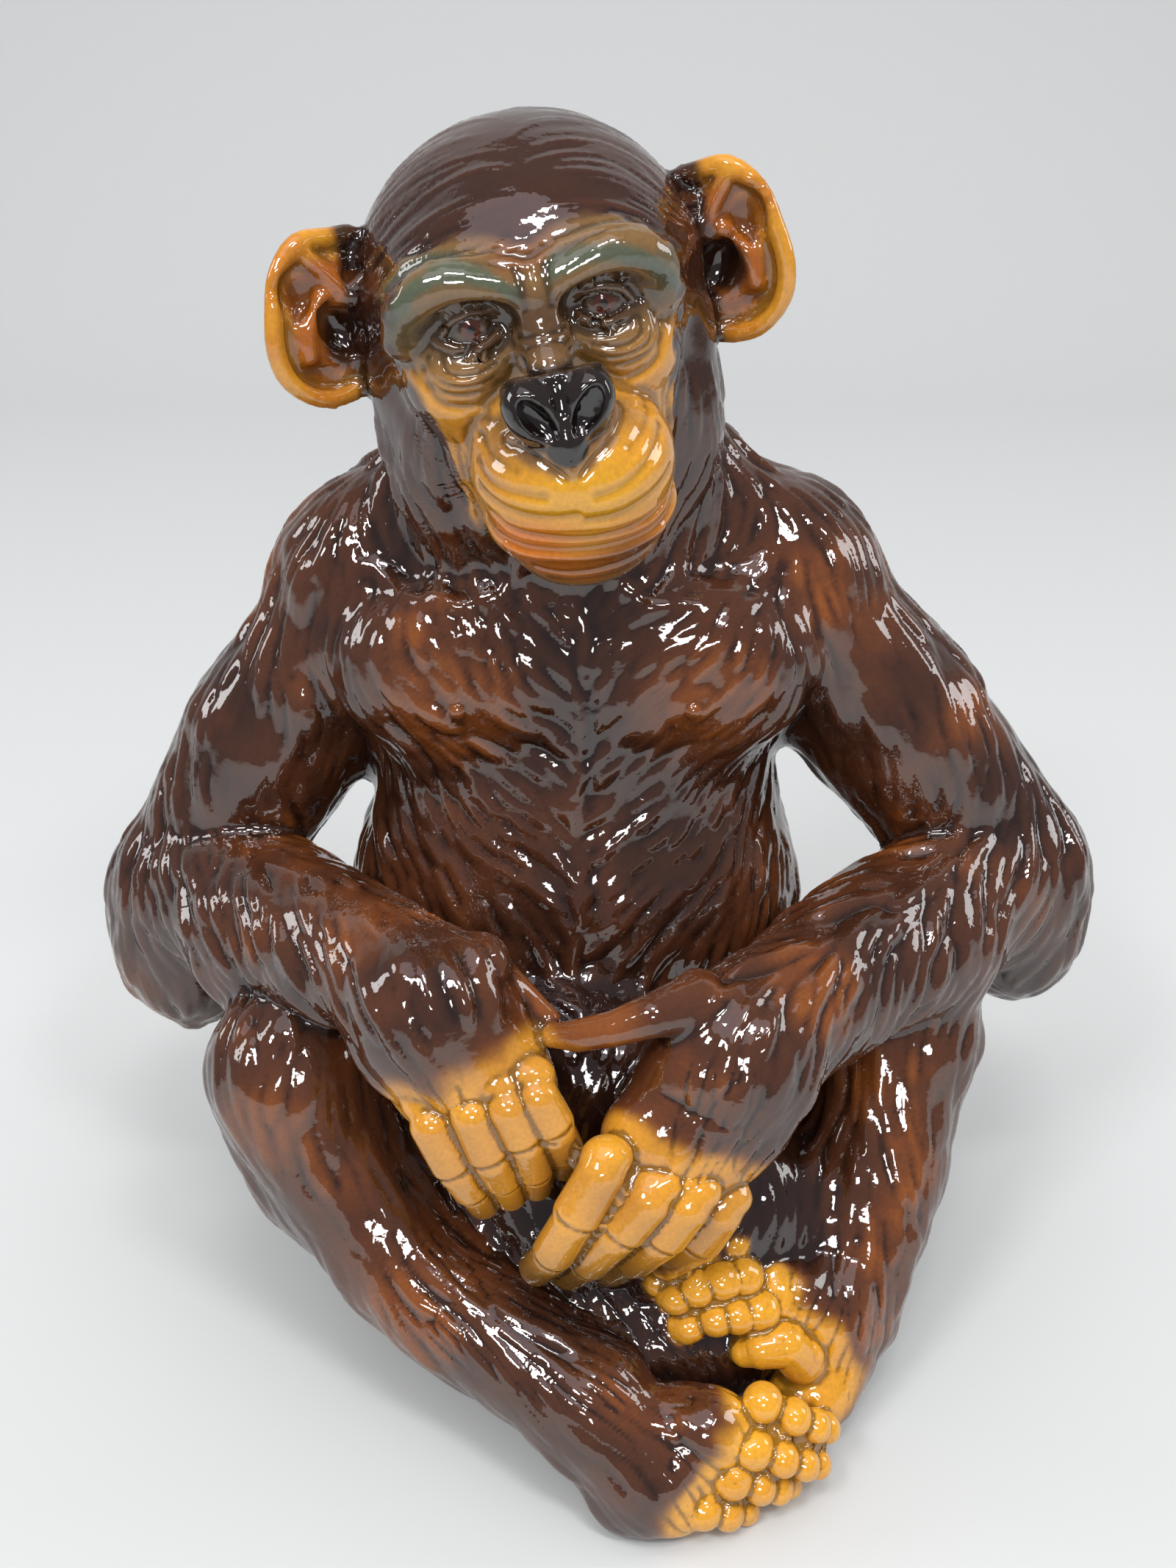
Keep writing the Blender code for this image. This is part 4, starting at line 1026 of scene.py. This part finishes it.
def paint_face(p, local, gap, groove, ridge):
    """Colours of the bare face with painted shade in its folds, in the head's own measures."""
    x, y, z = local.T
    base = mix(OLIVE_TAN, TAN, 0.6 * ease(z, 8, -4) * ease(np.abs(x), 8, 20))
    base = mix(base, OCHRE, ease(z, 6, -6) * ease(np.abs(x), 14, 24) * 0.8)
    base = mix(base, RUST, band(x, -1, 3, 12) * band(z, 28, 2, 7) * 0.6)
    for side in (-1, 1):
        across = (x - side * 18.5) / 13
        bag = ease(np.hypot(across, (z + 1) / 9), 1.15, 0.7)
        base = mix(base, OLIVE_TAN, 0.35 * bag)
        rim = np.hypot((x - side * 19) / 13.5, (z - 1) / 9.5)
        base = mix(base, OCHRE, 0.65 * band(rim, 1.0, 0.12, 0.34) * ease(z, 3, -3))
        eye = ease(np.hypot((x - side * 16.2) / 12.5, (z - 11.5) / 7.6), 1.25, 0.55)
        base = mix(base, UMBER * 1.15, 0.85 * eye)
    arch = np.interp(x, BROW_X, BROW_Z) + 0.7 * grain(p, 6, 8)
    green = ease(np.abs(z - arch), 3.6, 1.0) * ease(np.abs(x), 1.5, 5)
    outer = ease(np.abs(x), 25, 31) * ease(z, 6, 12) * ease(z, 24, 20)
    base = mix(base, SEA_GREEN, np.clip(0.85 * green + 0.45 * outer, 0, 0.85))
    snout = ease(np.hypot((x - 3) / 27, (z + 33) / 23), 1.05, 0.8) * ease(y, -36, -44)
    lips = mix(OCHRE, YELLOW * 0.9, ease(np.hypot((x - 3) / 20, (z + 28) / 12), 1.2, 0.3))
    lips = mix(lips, ORANGE, ease(z, -30, -38) * ease(x, 6, -12) * 0.9)
    lips = mix(lips, AMBER * 1.1, ease(z, -33, -42) * ease(x, -4, 14) * 0.75)
    chin = ease(z + 0.004 * x * x, -42.5, -46)
    lips = mix(lips, mix(AMBER * 0.85, BROWN * 1.2, ease(x, -4, 16)), chin * 0.9)
    base = mix(base, lips * 0.93, snout)
    rim = ease(gap["nose"], 5.5, 2.5) * ease(z, 7, 3)
    base = mix(base, RIM_GREY, 0.8 * rim * ease(z, -24, -20))
    bridge = band(x, 0, 3, 9) * ease(z, 0, 5) * ease(z, 22, 12)
    base = mix(base, mix(UMBER * 1.4, BRIDGE, ease(z, 8, 2)), 0.75 * bridge)
    black = ease(gap["nose"], 1.5, 0.5) * ease(z, 4.5, 1.5)
    base = mix(base, BLACK, black)
    # Darker glaze pooled in the face's folds, deepened with painted shade, less of it on the snout.
    base = mix(base, base * 0.42, groove * (0.85 - 0.5 * snout))
    base = mix(base, np.clip(base * 1.25, 0, 1), 0.5 * ridge * (1 - black))
    for side in (-1, 1):
        iris = np.hypot(x - side * 16.2, z - 11.3)
        look = ease(iris, 2.6, 2.1) * ease(y, -41, -42)
        base = mix(base, IRIS, look)
        base = mix(base, BLACK, ease(iris, 1.3, 0.9) * ease(y, -41, -42))
    return base


BROW_X = (-36, -33.7, -28.5, -22.7, -16.5, -10.5, -4.8, 0.8, 6.1, 12.2, 20, 26.6, 31.5, 35.5)
BROW_Z = (15, 19, 23.8, 26.3, 25.9, 23.6, 18.5, 20.0, 23.2, 24.9, 24.0, 20.7, 15.5, 11)
FACE_Z = (-61, -57, -50, -44, -35, -25, -15, -5, 5, 13, 21, 27, 31)
FACE_LEFT = (-8, -15, -20, -23, -25, -25, -28, -32.5, -35, -36, -35.5, -29, -18)
FACE_RIGHT = (14, 20, 26, 30, 31, 30, 32, 34, 36, 37, 35.5, 29, 18)


def paint(surface, clay, regions, local, hollow):
    """The glaze colour of each vertex, with painted shade in the lap, the ear hollows and the grooves, and
    how much of it is bare surface.
    """
    p = surface.p
    groups = {}
    for name, (kind, shape, _, _) in zip(regions, clay.steps):
        if kind == "add":
            groups.setdefault(name, []).append(shape)
    gap = {name: near_any(p, shapes) for name, shapes in groups.items()}
    rest = np.minimum.reduce([gap["body"], gap["leg"], gap["lap"], gap["arm"]])
    ridge = ease(-hollow, 0.0, 0.05)
    groove = ease(hollow, 0.0, 0.055)
    patch = grain(p, 34, 1) * 0.7 + grain(p, 15, 2) * 0.5 + grain(p, 6, 3) * 0.2
    limb = ease(gap["arm"], 8, 2)
    warm = ease(patch + 0.12 * limb - 0.24, 0.0, 0.8)
    for centre, reach in AMBER_SPOTS:
        spot = ease(np.linalg.norm(p - centre, axis=1) / reach + 0.25 * patch, 1.1, 0.45)
        warm = np.maximum(warm, 0.85 * spot)
    crown = ease(gap["head"], 7, 1) * ease(p[:, 2], 245, 262)
    warm *= 1 - 0.85 * crown
    colour = mix(DARK_BROWN, BROWN, ease(patch, -0.6, 0.5) * (1 - 0.7 * crown))
    colour = mix(colour, RUST, 0.75 * warm)
    colour = mix(colour, AMBER, np.clip(warm * (0.35 + 0.65 * ridge) - 0.25, 0, 1))
    colour = mix(colour, BROWN, 0.35 * ridge)
    # Darker glaze pooled in the hair grooves, deepened to near black with painted shade.
    colour = mix(colour, NIGHT_BROWN * 0.6, 0.8 * groove)
    # Painted shade: the lap filler between hands, belly and shins is painted nearly black, as the shade in
    # that recess.
    colour = mix(colour, NIGHT_BROWN, ease(gap["lap"], 3, 0) * 0.7)

    x, y, z = local.T
    edge = 1.6 * grain(p, 5, 6)
    inside = np.minimum(x - np.interp(z, FACE_Z, FACE_LEFT), np.interp(z, FACE_Z, FACE_RIGHT) - x)
    dip = 3.0 * np.exp(-((x / 6) ** 2))
    face = ease(inside + edge, -1.0, 2.5) * ease(y, -14, -21) * ease(z + dip, 33, 29) * ease(z, -64, -59)
    face = np.maximum(face, ease(gap["nose"], 3, 1))
    colour = mix(colour, paint_face(p, local, gap, groove, ridge), face)

    tips = near_any(p, [s for s in groups["hand"] if girth(s) < 7.6])
    fingers = near_any(p, [s for s in groups["hand"] if 4.4 < girth(s) < 7.6])
    hand = ease(fingers + 3.0 * grain(p, 8, 9), 16, 0.5) * ease(rest - gap["hand"], -2.5, 1.0)
    toes = near_any(p, [s for s in groups["foot"] if girth(s) < 8.2])
    foot = ease(toes + 3.0 * grain(p, 8, 9), 15, 0.5) * ease(rest - gap["foot"], -2.5, 1.0)
    # The left hand's lowest fingers are made darker towards the bottom.
    low_fingertips = ease(p[:, 2] + 0.25 * p[:, 0], 88, 62) * ease(p[:, 0], 40, 20)
    for mask, strong in ((hand, 0.0), (foot, 0.5)):
        gold = mix(OCHRE, YELLOW, np.clip(strong + 0.4 * grain(p, 12, 11), 0, 1))
        if mask is hand:
            gold = mix(gold, TAN * 0.85, np.clip(0.22 + 0.45 * grain(p, 14, 14), 0, 1))
            # Those low fingers turn a darker olive tan.
            gold = mix(gold, OLIVE_TAN * 0.55, 0.8 * low_fingertips)
        gold = mix(RUST, gold, ease(mask, 0.3, 0.95))
        # Darker glaze pooled in the creases of hands and feet, deepened with painted shade.
        gold = mix(gold, gold * 0.35, 0.9 * groove)
        gold = mix(gold, np.clip(gold * 1.15, 0, 1), ridge * 0.6)
        colour = mix(colour, gold, ease(mask, 0.05, 0.8))
    ear = ease(np.minimum(gap["head"], rest) - gap["ear"], 1.5, 5.0)
    blotch = ease(grain(p, 9, 12) + 0.3 * grain(p, 4, 13), -0.3, 0.6)
    leaf = mix(OCHRE, AMBER * 1.15, blotch * 0.6)
    away = np.abs(x - SKULL_OFFSET)
    # Painted shade: the concha hollow and the ear's front root against the head are darkened towards near
    # black.
    concha_shade = ease(np.hypot(away - 51.0, (z - 4) / 1.4), 6.5, 4.0)
    front = ease(away, 49.5, 46) + ease(away + 0.25 * z, 52, 48) * ease(z, 8, 14)
    rim = near_any(p, [s for s in groups["ear"] if girth(s) == EAR_RIM_RADIUS])
    leaf = mix(AMBER * 0.95, leaf, ease(rim, 4.5, 1.0))
    leaf = mix(leaf, NIGHT_BROWN * 1.3, np.clip(0.92 * concha_shade + front, 0, 0.95))
    # Darker glaze pooled in the ear's folds, deepened with painted shade.
    leaf = mix(leaf, leaf * 0.35, 0.8 * groove)
    colour = mix(colour, leaf, ear)
    ends = np.maximum(
        ease(rest - gap["hand"], -1.0, 2.0) * ease(tips, 20, 13),
        ease(rest - gap["foot"], -1.0, 2.0) * ease(toes, 16, 9),
    )
    bare = np.maximum.reduce([face, ends, ease(ear, 0.1, 0.6)])
    return np.clip(colour, 0, 1), bare


def girth(shape):
    """The smallest half size of a piece of clay."""
    return round(float(np.min(shape.radii)), 6)


def fine_mesh(clay, head, quick):
    """The skin at full detail, finest on the face, the fingers and the toes."""
    mesh = skin(clay, COARSE_VOXEL, 1)
    if quick:
        return mesh
    mesh = remeshed(mesh, FINE_VOXEL)
    settle(mesh, clay, 2)
    bm = bmesh.new()
    bm.from_mesh(mesh)
    fine = finest(np.array([v.co for v in bm.verts]), head)
    edges = [e for e in bm.edges if fine[e.verts[0].index] and fine[e.verts[1].index]]
    bmesh.ops.subdivide_edges(bm, edges=edges, cuts=1, use_grid_fill=True)
    bm.to_mesh(mesh)
    bm.free()
    points = np.array([v.co for v in mesh.vertices])
    fine = finest(points, head)
    points[fine] = clay.pull(points[fine], 0.6)
    mesh.vertices.foreach_set("co", points.astype(np.float32).ravel())
    mesh.update()
    return mesh


def finest(points, head):
    """Which points lie on the face, the fingers or the front toes."""
    local = (points - head.origin) @ head.axes
    x, y, z = local.T
    face = (y < -24) & (np.abs(x) < 37) & (z > -58) & (z < 31)
    x, y, z = points.T
    hands = (y < -104) & (np.abs(x) < 46) & (z > 40) & (z < 135)
    return face | hands | ((y < -108) & (x > 22) & (z < 60))


def dress(mesh, clay, head, regions):
    """Carves the hair into the mesh and returns the painted colour of each vertex."""
    surface = Skin(mesh)
    local = (surface.p - head.origin) @ head.axes
    _, bare = paint(surface, clay, regions, local, np.zeros(surface.n))
    fur = 1 - surface.smooth(bare, 3)
    fur = np.clip(fur * 1.2 - 0.15, 0, 1) * ease(surface.p[:, 2], 1, 8)
    for side in (-1, 1):
        away = np.hypot(surface.p[:, 0] + 3.5 - side * NIPPLE_SPREAD, surface.p[:, 2] - 203)
        fur *= 1 - ease(away, 9, 5) * ease(surface.p[:, 1], 0, -10)
    scalp = ease(np.linalg.norm(local / (52, 54, 60), axis=1), 1.15, 0.95) * ease(local[:, 2], -14, 6)
    wild = np.clip(0.62 + 0.55 * grain(surface.p, 24, 31), 0.15, 1) * (1 - scalp)
    aside = np.hypot(np.abs(local[:, 0] - SKULL_OFFSET) - 43, (local[:, 2] - 4) / 1.7)
    fur *= 1 - 0.8 * ease(aside, 13, 8) * ease(local[:, 1], 8, -4)
    way, size = flow(surface.p, surface.normal, local, head)
    rng = np.random.default_rng(11)
    tufts = comb(surface, way, size * (1.8, 1.2, 1.5), fur * wild, 0.7, rng)
    even = fur * (0.5 + 0.5 * np.maximum(wild, scalp))
    locks = comb(surface, way, size * (1.1, 1.05, 1.2), even, 1.05, rng)
    waves = (0.7 * grain(surface.p, 15, 21) + 0.4 * grain(surface.p, 8, 22)) * fur * (1 - scalp)
    surface.p += surface.normal * (1.35 * tufts + 1.15 * locks - 0.8 * fur + waves)[:, None]
    surface.p[:, 2] = np.maximum(surface.p[:, 2], 0)
    surface.write()
    colour, _ = paint(surface, clay, regions, local, surface.hollow(2))
    return surface, colour


def panels(mesh, surface, colour, material, count):
    """The mesh as pieces from bottom to top that meet without a visible seam."""
    loops = numbers(mesh.loops, "vertex_index")
    starts = numbers(mesh.polygons, "loop_start")
    totals = numbers(mesh.polygons, "loop_total")
    height = surface.p[loops[starts], 2]
    rank = np.argsort(height, kind="stable")
    made = []
    for k, share in enumerate(np.array_split(rank, count)):
        share = np.sort(share)
        sizes = totals[share]
        pick = np.repeat(starts[share], sizes) + (
            np.arange(sizes.sum()) - np.repeat(np.cumsum(sizes) - sizes, sizes)
        )
        used, corners = np.unique(loops[pick], return_inverse=True)
        piece = bpy.data.meshes.new(f"glazed_body_{k + 1}")
        piece.vertices.add(len(used))
        piece.vertices.foreach_set("co", (surface.p[used] * MM).astype(np.float32).ravel())
        piece.loops.add(len(corners))
        piece.loops.foreach_set("vertex_index", corners.astype(np.int32).ravel())
        piece.polygons.add(len(share))
        piece.polygons.foreach_set("loop_start", (np.cumsum(sizes) - sizes).astype(np.int32))
        piece.update(calc_edges=True)
        piece.validate()
        piece.normals_split_custom_set_from_vertices(surface.normal[used].tolist())
        layer = piece.color_attributes.new("glaze_colour_and_shade", "FLOAT_COLOR", "POINT")
        rgba = np.column_stack([colour[used], np.ones(len(used))]).astype(np.float32)
        layer.data.foreach_set("color", rgba.ravel())
        piece.materials.append(material)
        obj = bpy.data.objects.new(piece.name, piece)
        bpy.context.scene.collection.objects.link(obj)
        made.append(obj)
    return made


def glaze():
    """Glossy brown glaze that shows the painted colour, with a fine mottle."""
    material = bpy.data.materials.new("painted_glaze")
    material.use_nodes = True
    nodes, links = material.node_tree.nodes, material.node_tree.links

    def node(kind, **values):
        made = nodes.new("ShaderNode" + kind)
        for name, value in values.items():
            made.inputs[name.replace("_", " ")].default_value = value
        return made

    surface = nodes["Principled BSDF"]
    surface.inputs["Roughness"].default_value = 0.05
    surface.inputs["IOR"].default_value = 1.8
    place = node("TexCoord")
    colour = node("Attribute")
    colour.attribute_name = "glaze_colour_and_shade"
    speckle = node("TexNoise", Scale=900, Detail=3)
    reach = node("MapRange", From_Min=0.3, From_Max=0.7, To_Min=0.9, To_Max=1.1)
    tint = node("VectorMath")
    tint.operation = "SCALE"
    ripple = node("TexNoise", Scale=260, Detail=2)
    bump = node("Bump", Strength=0.25, Distance=0.0006)
    links.new(place.outputs["Object"], speckle.inputs["Vector"])
    links.new(speckle.outputs["Fac"], reach.inputs["Value"])
    links.new(colour.outputs["Color"], tint.inputs[0])
    links.new(reach.outputs["Result"], tint.inputs["Scale"])
    links.new(tint.outputs["Vector"], surface.inputs["Base Color"])
    links.new(place.outputs["Object"], ripple.inputs["Vector"])
    links.new(ripple.outputs["Fac"], bump.inputs["Height"])
    links.new(bump.outputs["Normal"], surface.inputs["Normal"])
    return material


def plain(name, rgb, roughness):
    material = bpy.data.materials.new(name)
    material.use_nodes = True
    surface = material.node_tree.nodes["Principled BSDF"]
    surface.inputs["Base Color"].default_value = (*rgb, 1)
    surface.inputs["Roughness"].default_value = roughness
    surface.inputs["Specular IOR Level"].default_value = 0.2
    return material


def studio():
    """Pale table and backdrop, soft light from above and small crisp lamps."""
    rows = [(-2.0, 0.0), (0.9, 0.0)]
    bend = np.linspace(0.1, math.pi / 2, 12)
    rows += [(0.9 + 0.5 * math.sin(t), 0.5 - 0.5 * math.cos(t)) for t in bend]
    rows += [(1.4, 2.4)]
    verts = [(x, y, z - 0.0002) for y, z in rows for x in (-2.5, 2.5)]
    faces = [(2 * k, 2 * k + 1, 2 * k + 3, 2 * k + 2) for k in range(len(rows) - 1)]
    mesh = bpy.data.meshes.new("table_sweep")
    mesh.from_pydata(verts, [], faces)
    mesh.polygons.foreach_set("use_smooth", [True] * len(faces))
    mesh.materials.append(plain("pale_paper", (0.575, 0.59, 0.59), 0.7))
    sweep = bpy.data.objects.new("table_sweep", mesh)
    bpy.context.scene.collection.objects.link(sweep)
    for name, place, aim, size, watts, mirrored in LAMPS:
        lamp = bpy.data.lights.new(name, "AREA")
        lamp.shape = "RECTANGLE"
        lamp.size, lamp.size_y = size
        lamp.energy = watts
        holder = bpy.data.objects.new(name, lamp)
        holder.location = place
        holder.visible_glossy = mirrored
        if name == "ceiling_glow":
            lamp.color = (1.0, 0.90, 0.97)
            holder.visible_diffuse = False
        way = Vector(aim) - Vector(place)
        holder.rotation_euler = way.to_track_quat("-Z", "Y").to_euler()
        bpy.context.scene.collection.objects.link(holder)
    world = bpy.context.scene.world or bpy.data.worlds.new("room")
    bpy.context.scene.world = world
    world.use_nodes = True
    back = world.node_tree.nodes["Background"]
    back.inputs["Color"].default_value = (0.50, 0.47, 0.50, 1)
    back.inputs["Strength"].default_value = 0.42


LAMPS = (
    ("sky_panel", (0.0, -0.2, 2.2), (0, 0, 0.1), (3.2, 3.0), 42, False),
    ("window_left", (-0.75, -0.95, 1.55), (0, 0, 0.15), (0.42, 0.30), 9, True),
    ("lamp_right", (0.62, -0.85, 1.6), (0, 0, 0.15), (0.30, 0.22), 5.5, True),
    ("lamp_top", (0.1, -0.6, 1.8), (0, 0, 0.15), (0.42, 0.2), 5, True),
    ("lamp_front", (0.05, -1.5, 0.95), (0, 0, 0.15), (0.5, 0.28), 6.5, True),
    ("ceiling_glow", (-0.2, -0.35, 1.9), (0, 0, 0.1), (1.5, 1.1), 4.8, True),
    ("side_left", (-1.3, 0.1, 0.8), (0, 0, 0.18), (0.35, 0.6), 3.5, True),
    ("side_right", (1.3, 0.2, 0.7), (0, 0, 0.18), (0.45, 0.6), 3.6, True),
)


def camera():
    lens = bpy.data.cameras.new("photo_camera")
    lens.sensor_fit = "VERTICAL"
    lens.sensor_height = FILM_HEIGHT
    lens.lens = FOCAL_PIXELS / PHOTO_HEIGHT * FILM_HEIGHT
    holder = bpy.data.objects.new("photo_camera", lens)
    holder.location = CAMERA_PLACE
    holder.rotation_euler = (math.radians(CAMERA_TILT), 0, 0)
    bpy.context.scene.collection.objects.link(holder)
    bpy.context.scene.camera = holder


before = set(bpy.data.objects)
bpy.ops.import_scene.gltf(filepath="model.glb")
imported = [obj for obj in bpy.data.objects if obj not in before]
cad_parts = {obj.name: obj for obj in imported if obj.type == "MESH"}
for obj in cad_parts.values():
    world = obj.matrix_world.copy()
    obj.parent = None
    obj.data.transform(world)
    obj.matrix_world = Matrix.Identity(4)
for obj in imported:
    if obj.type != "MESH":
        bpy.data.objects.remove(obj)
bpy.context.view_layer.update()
clay, head, regions = figure()
mesh = fine_mesh(clay, head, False)
surface, colour = dress(mesh, clay, head, regions)
for piece in panels(mesh, surface, colour, glaze(), PANELS):
    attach(piece, "root")
    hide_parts("figurine")
bpy.data.meshes.remove(mesh)
studio()
camera()
bpy.context.scene.view_settings.view_transform = "Standard"
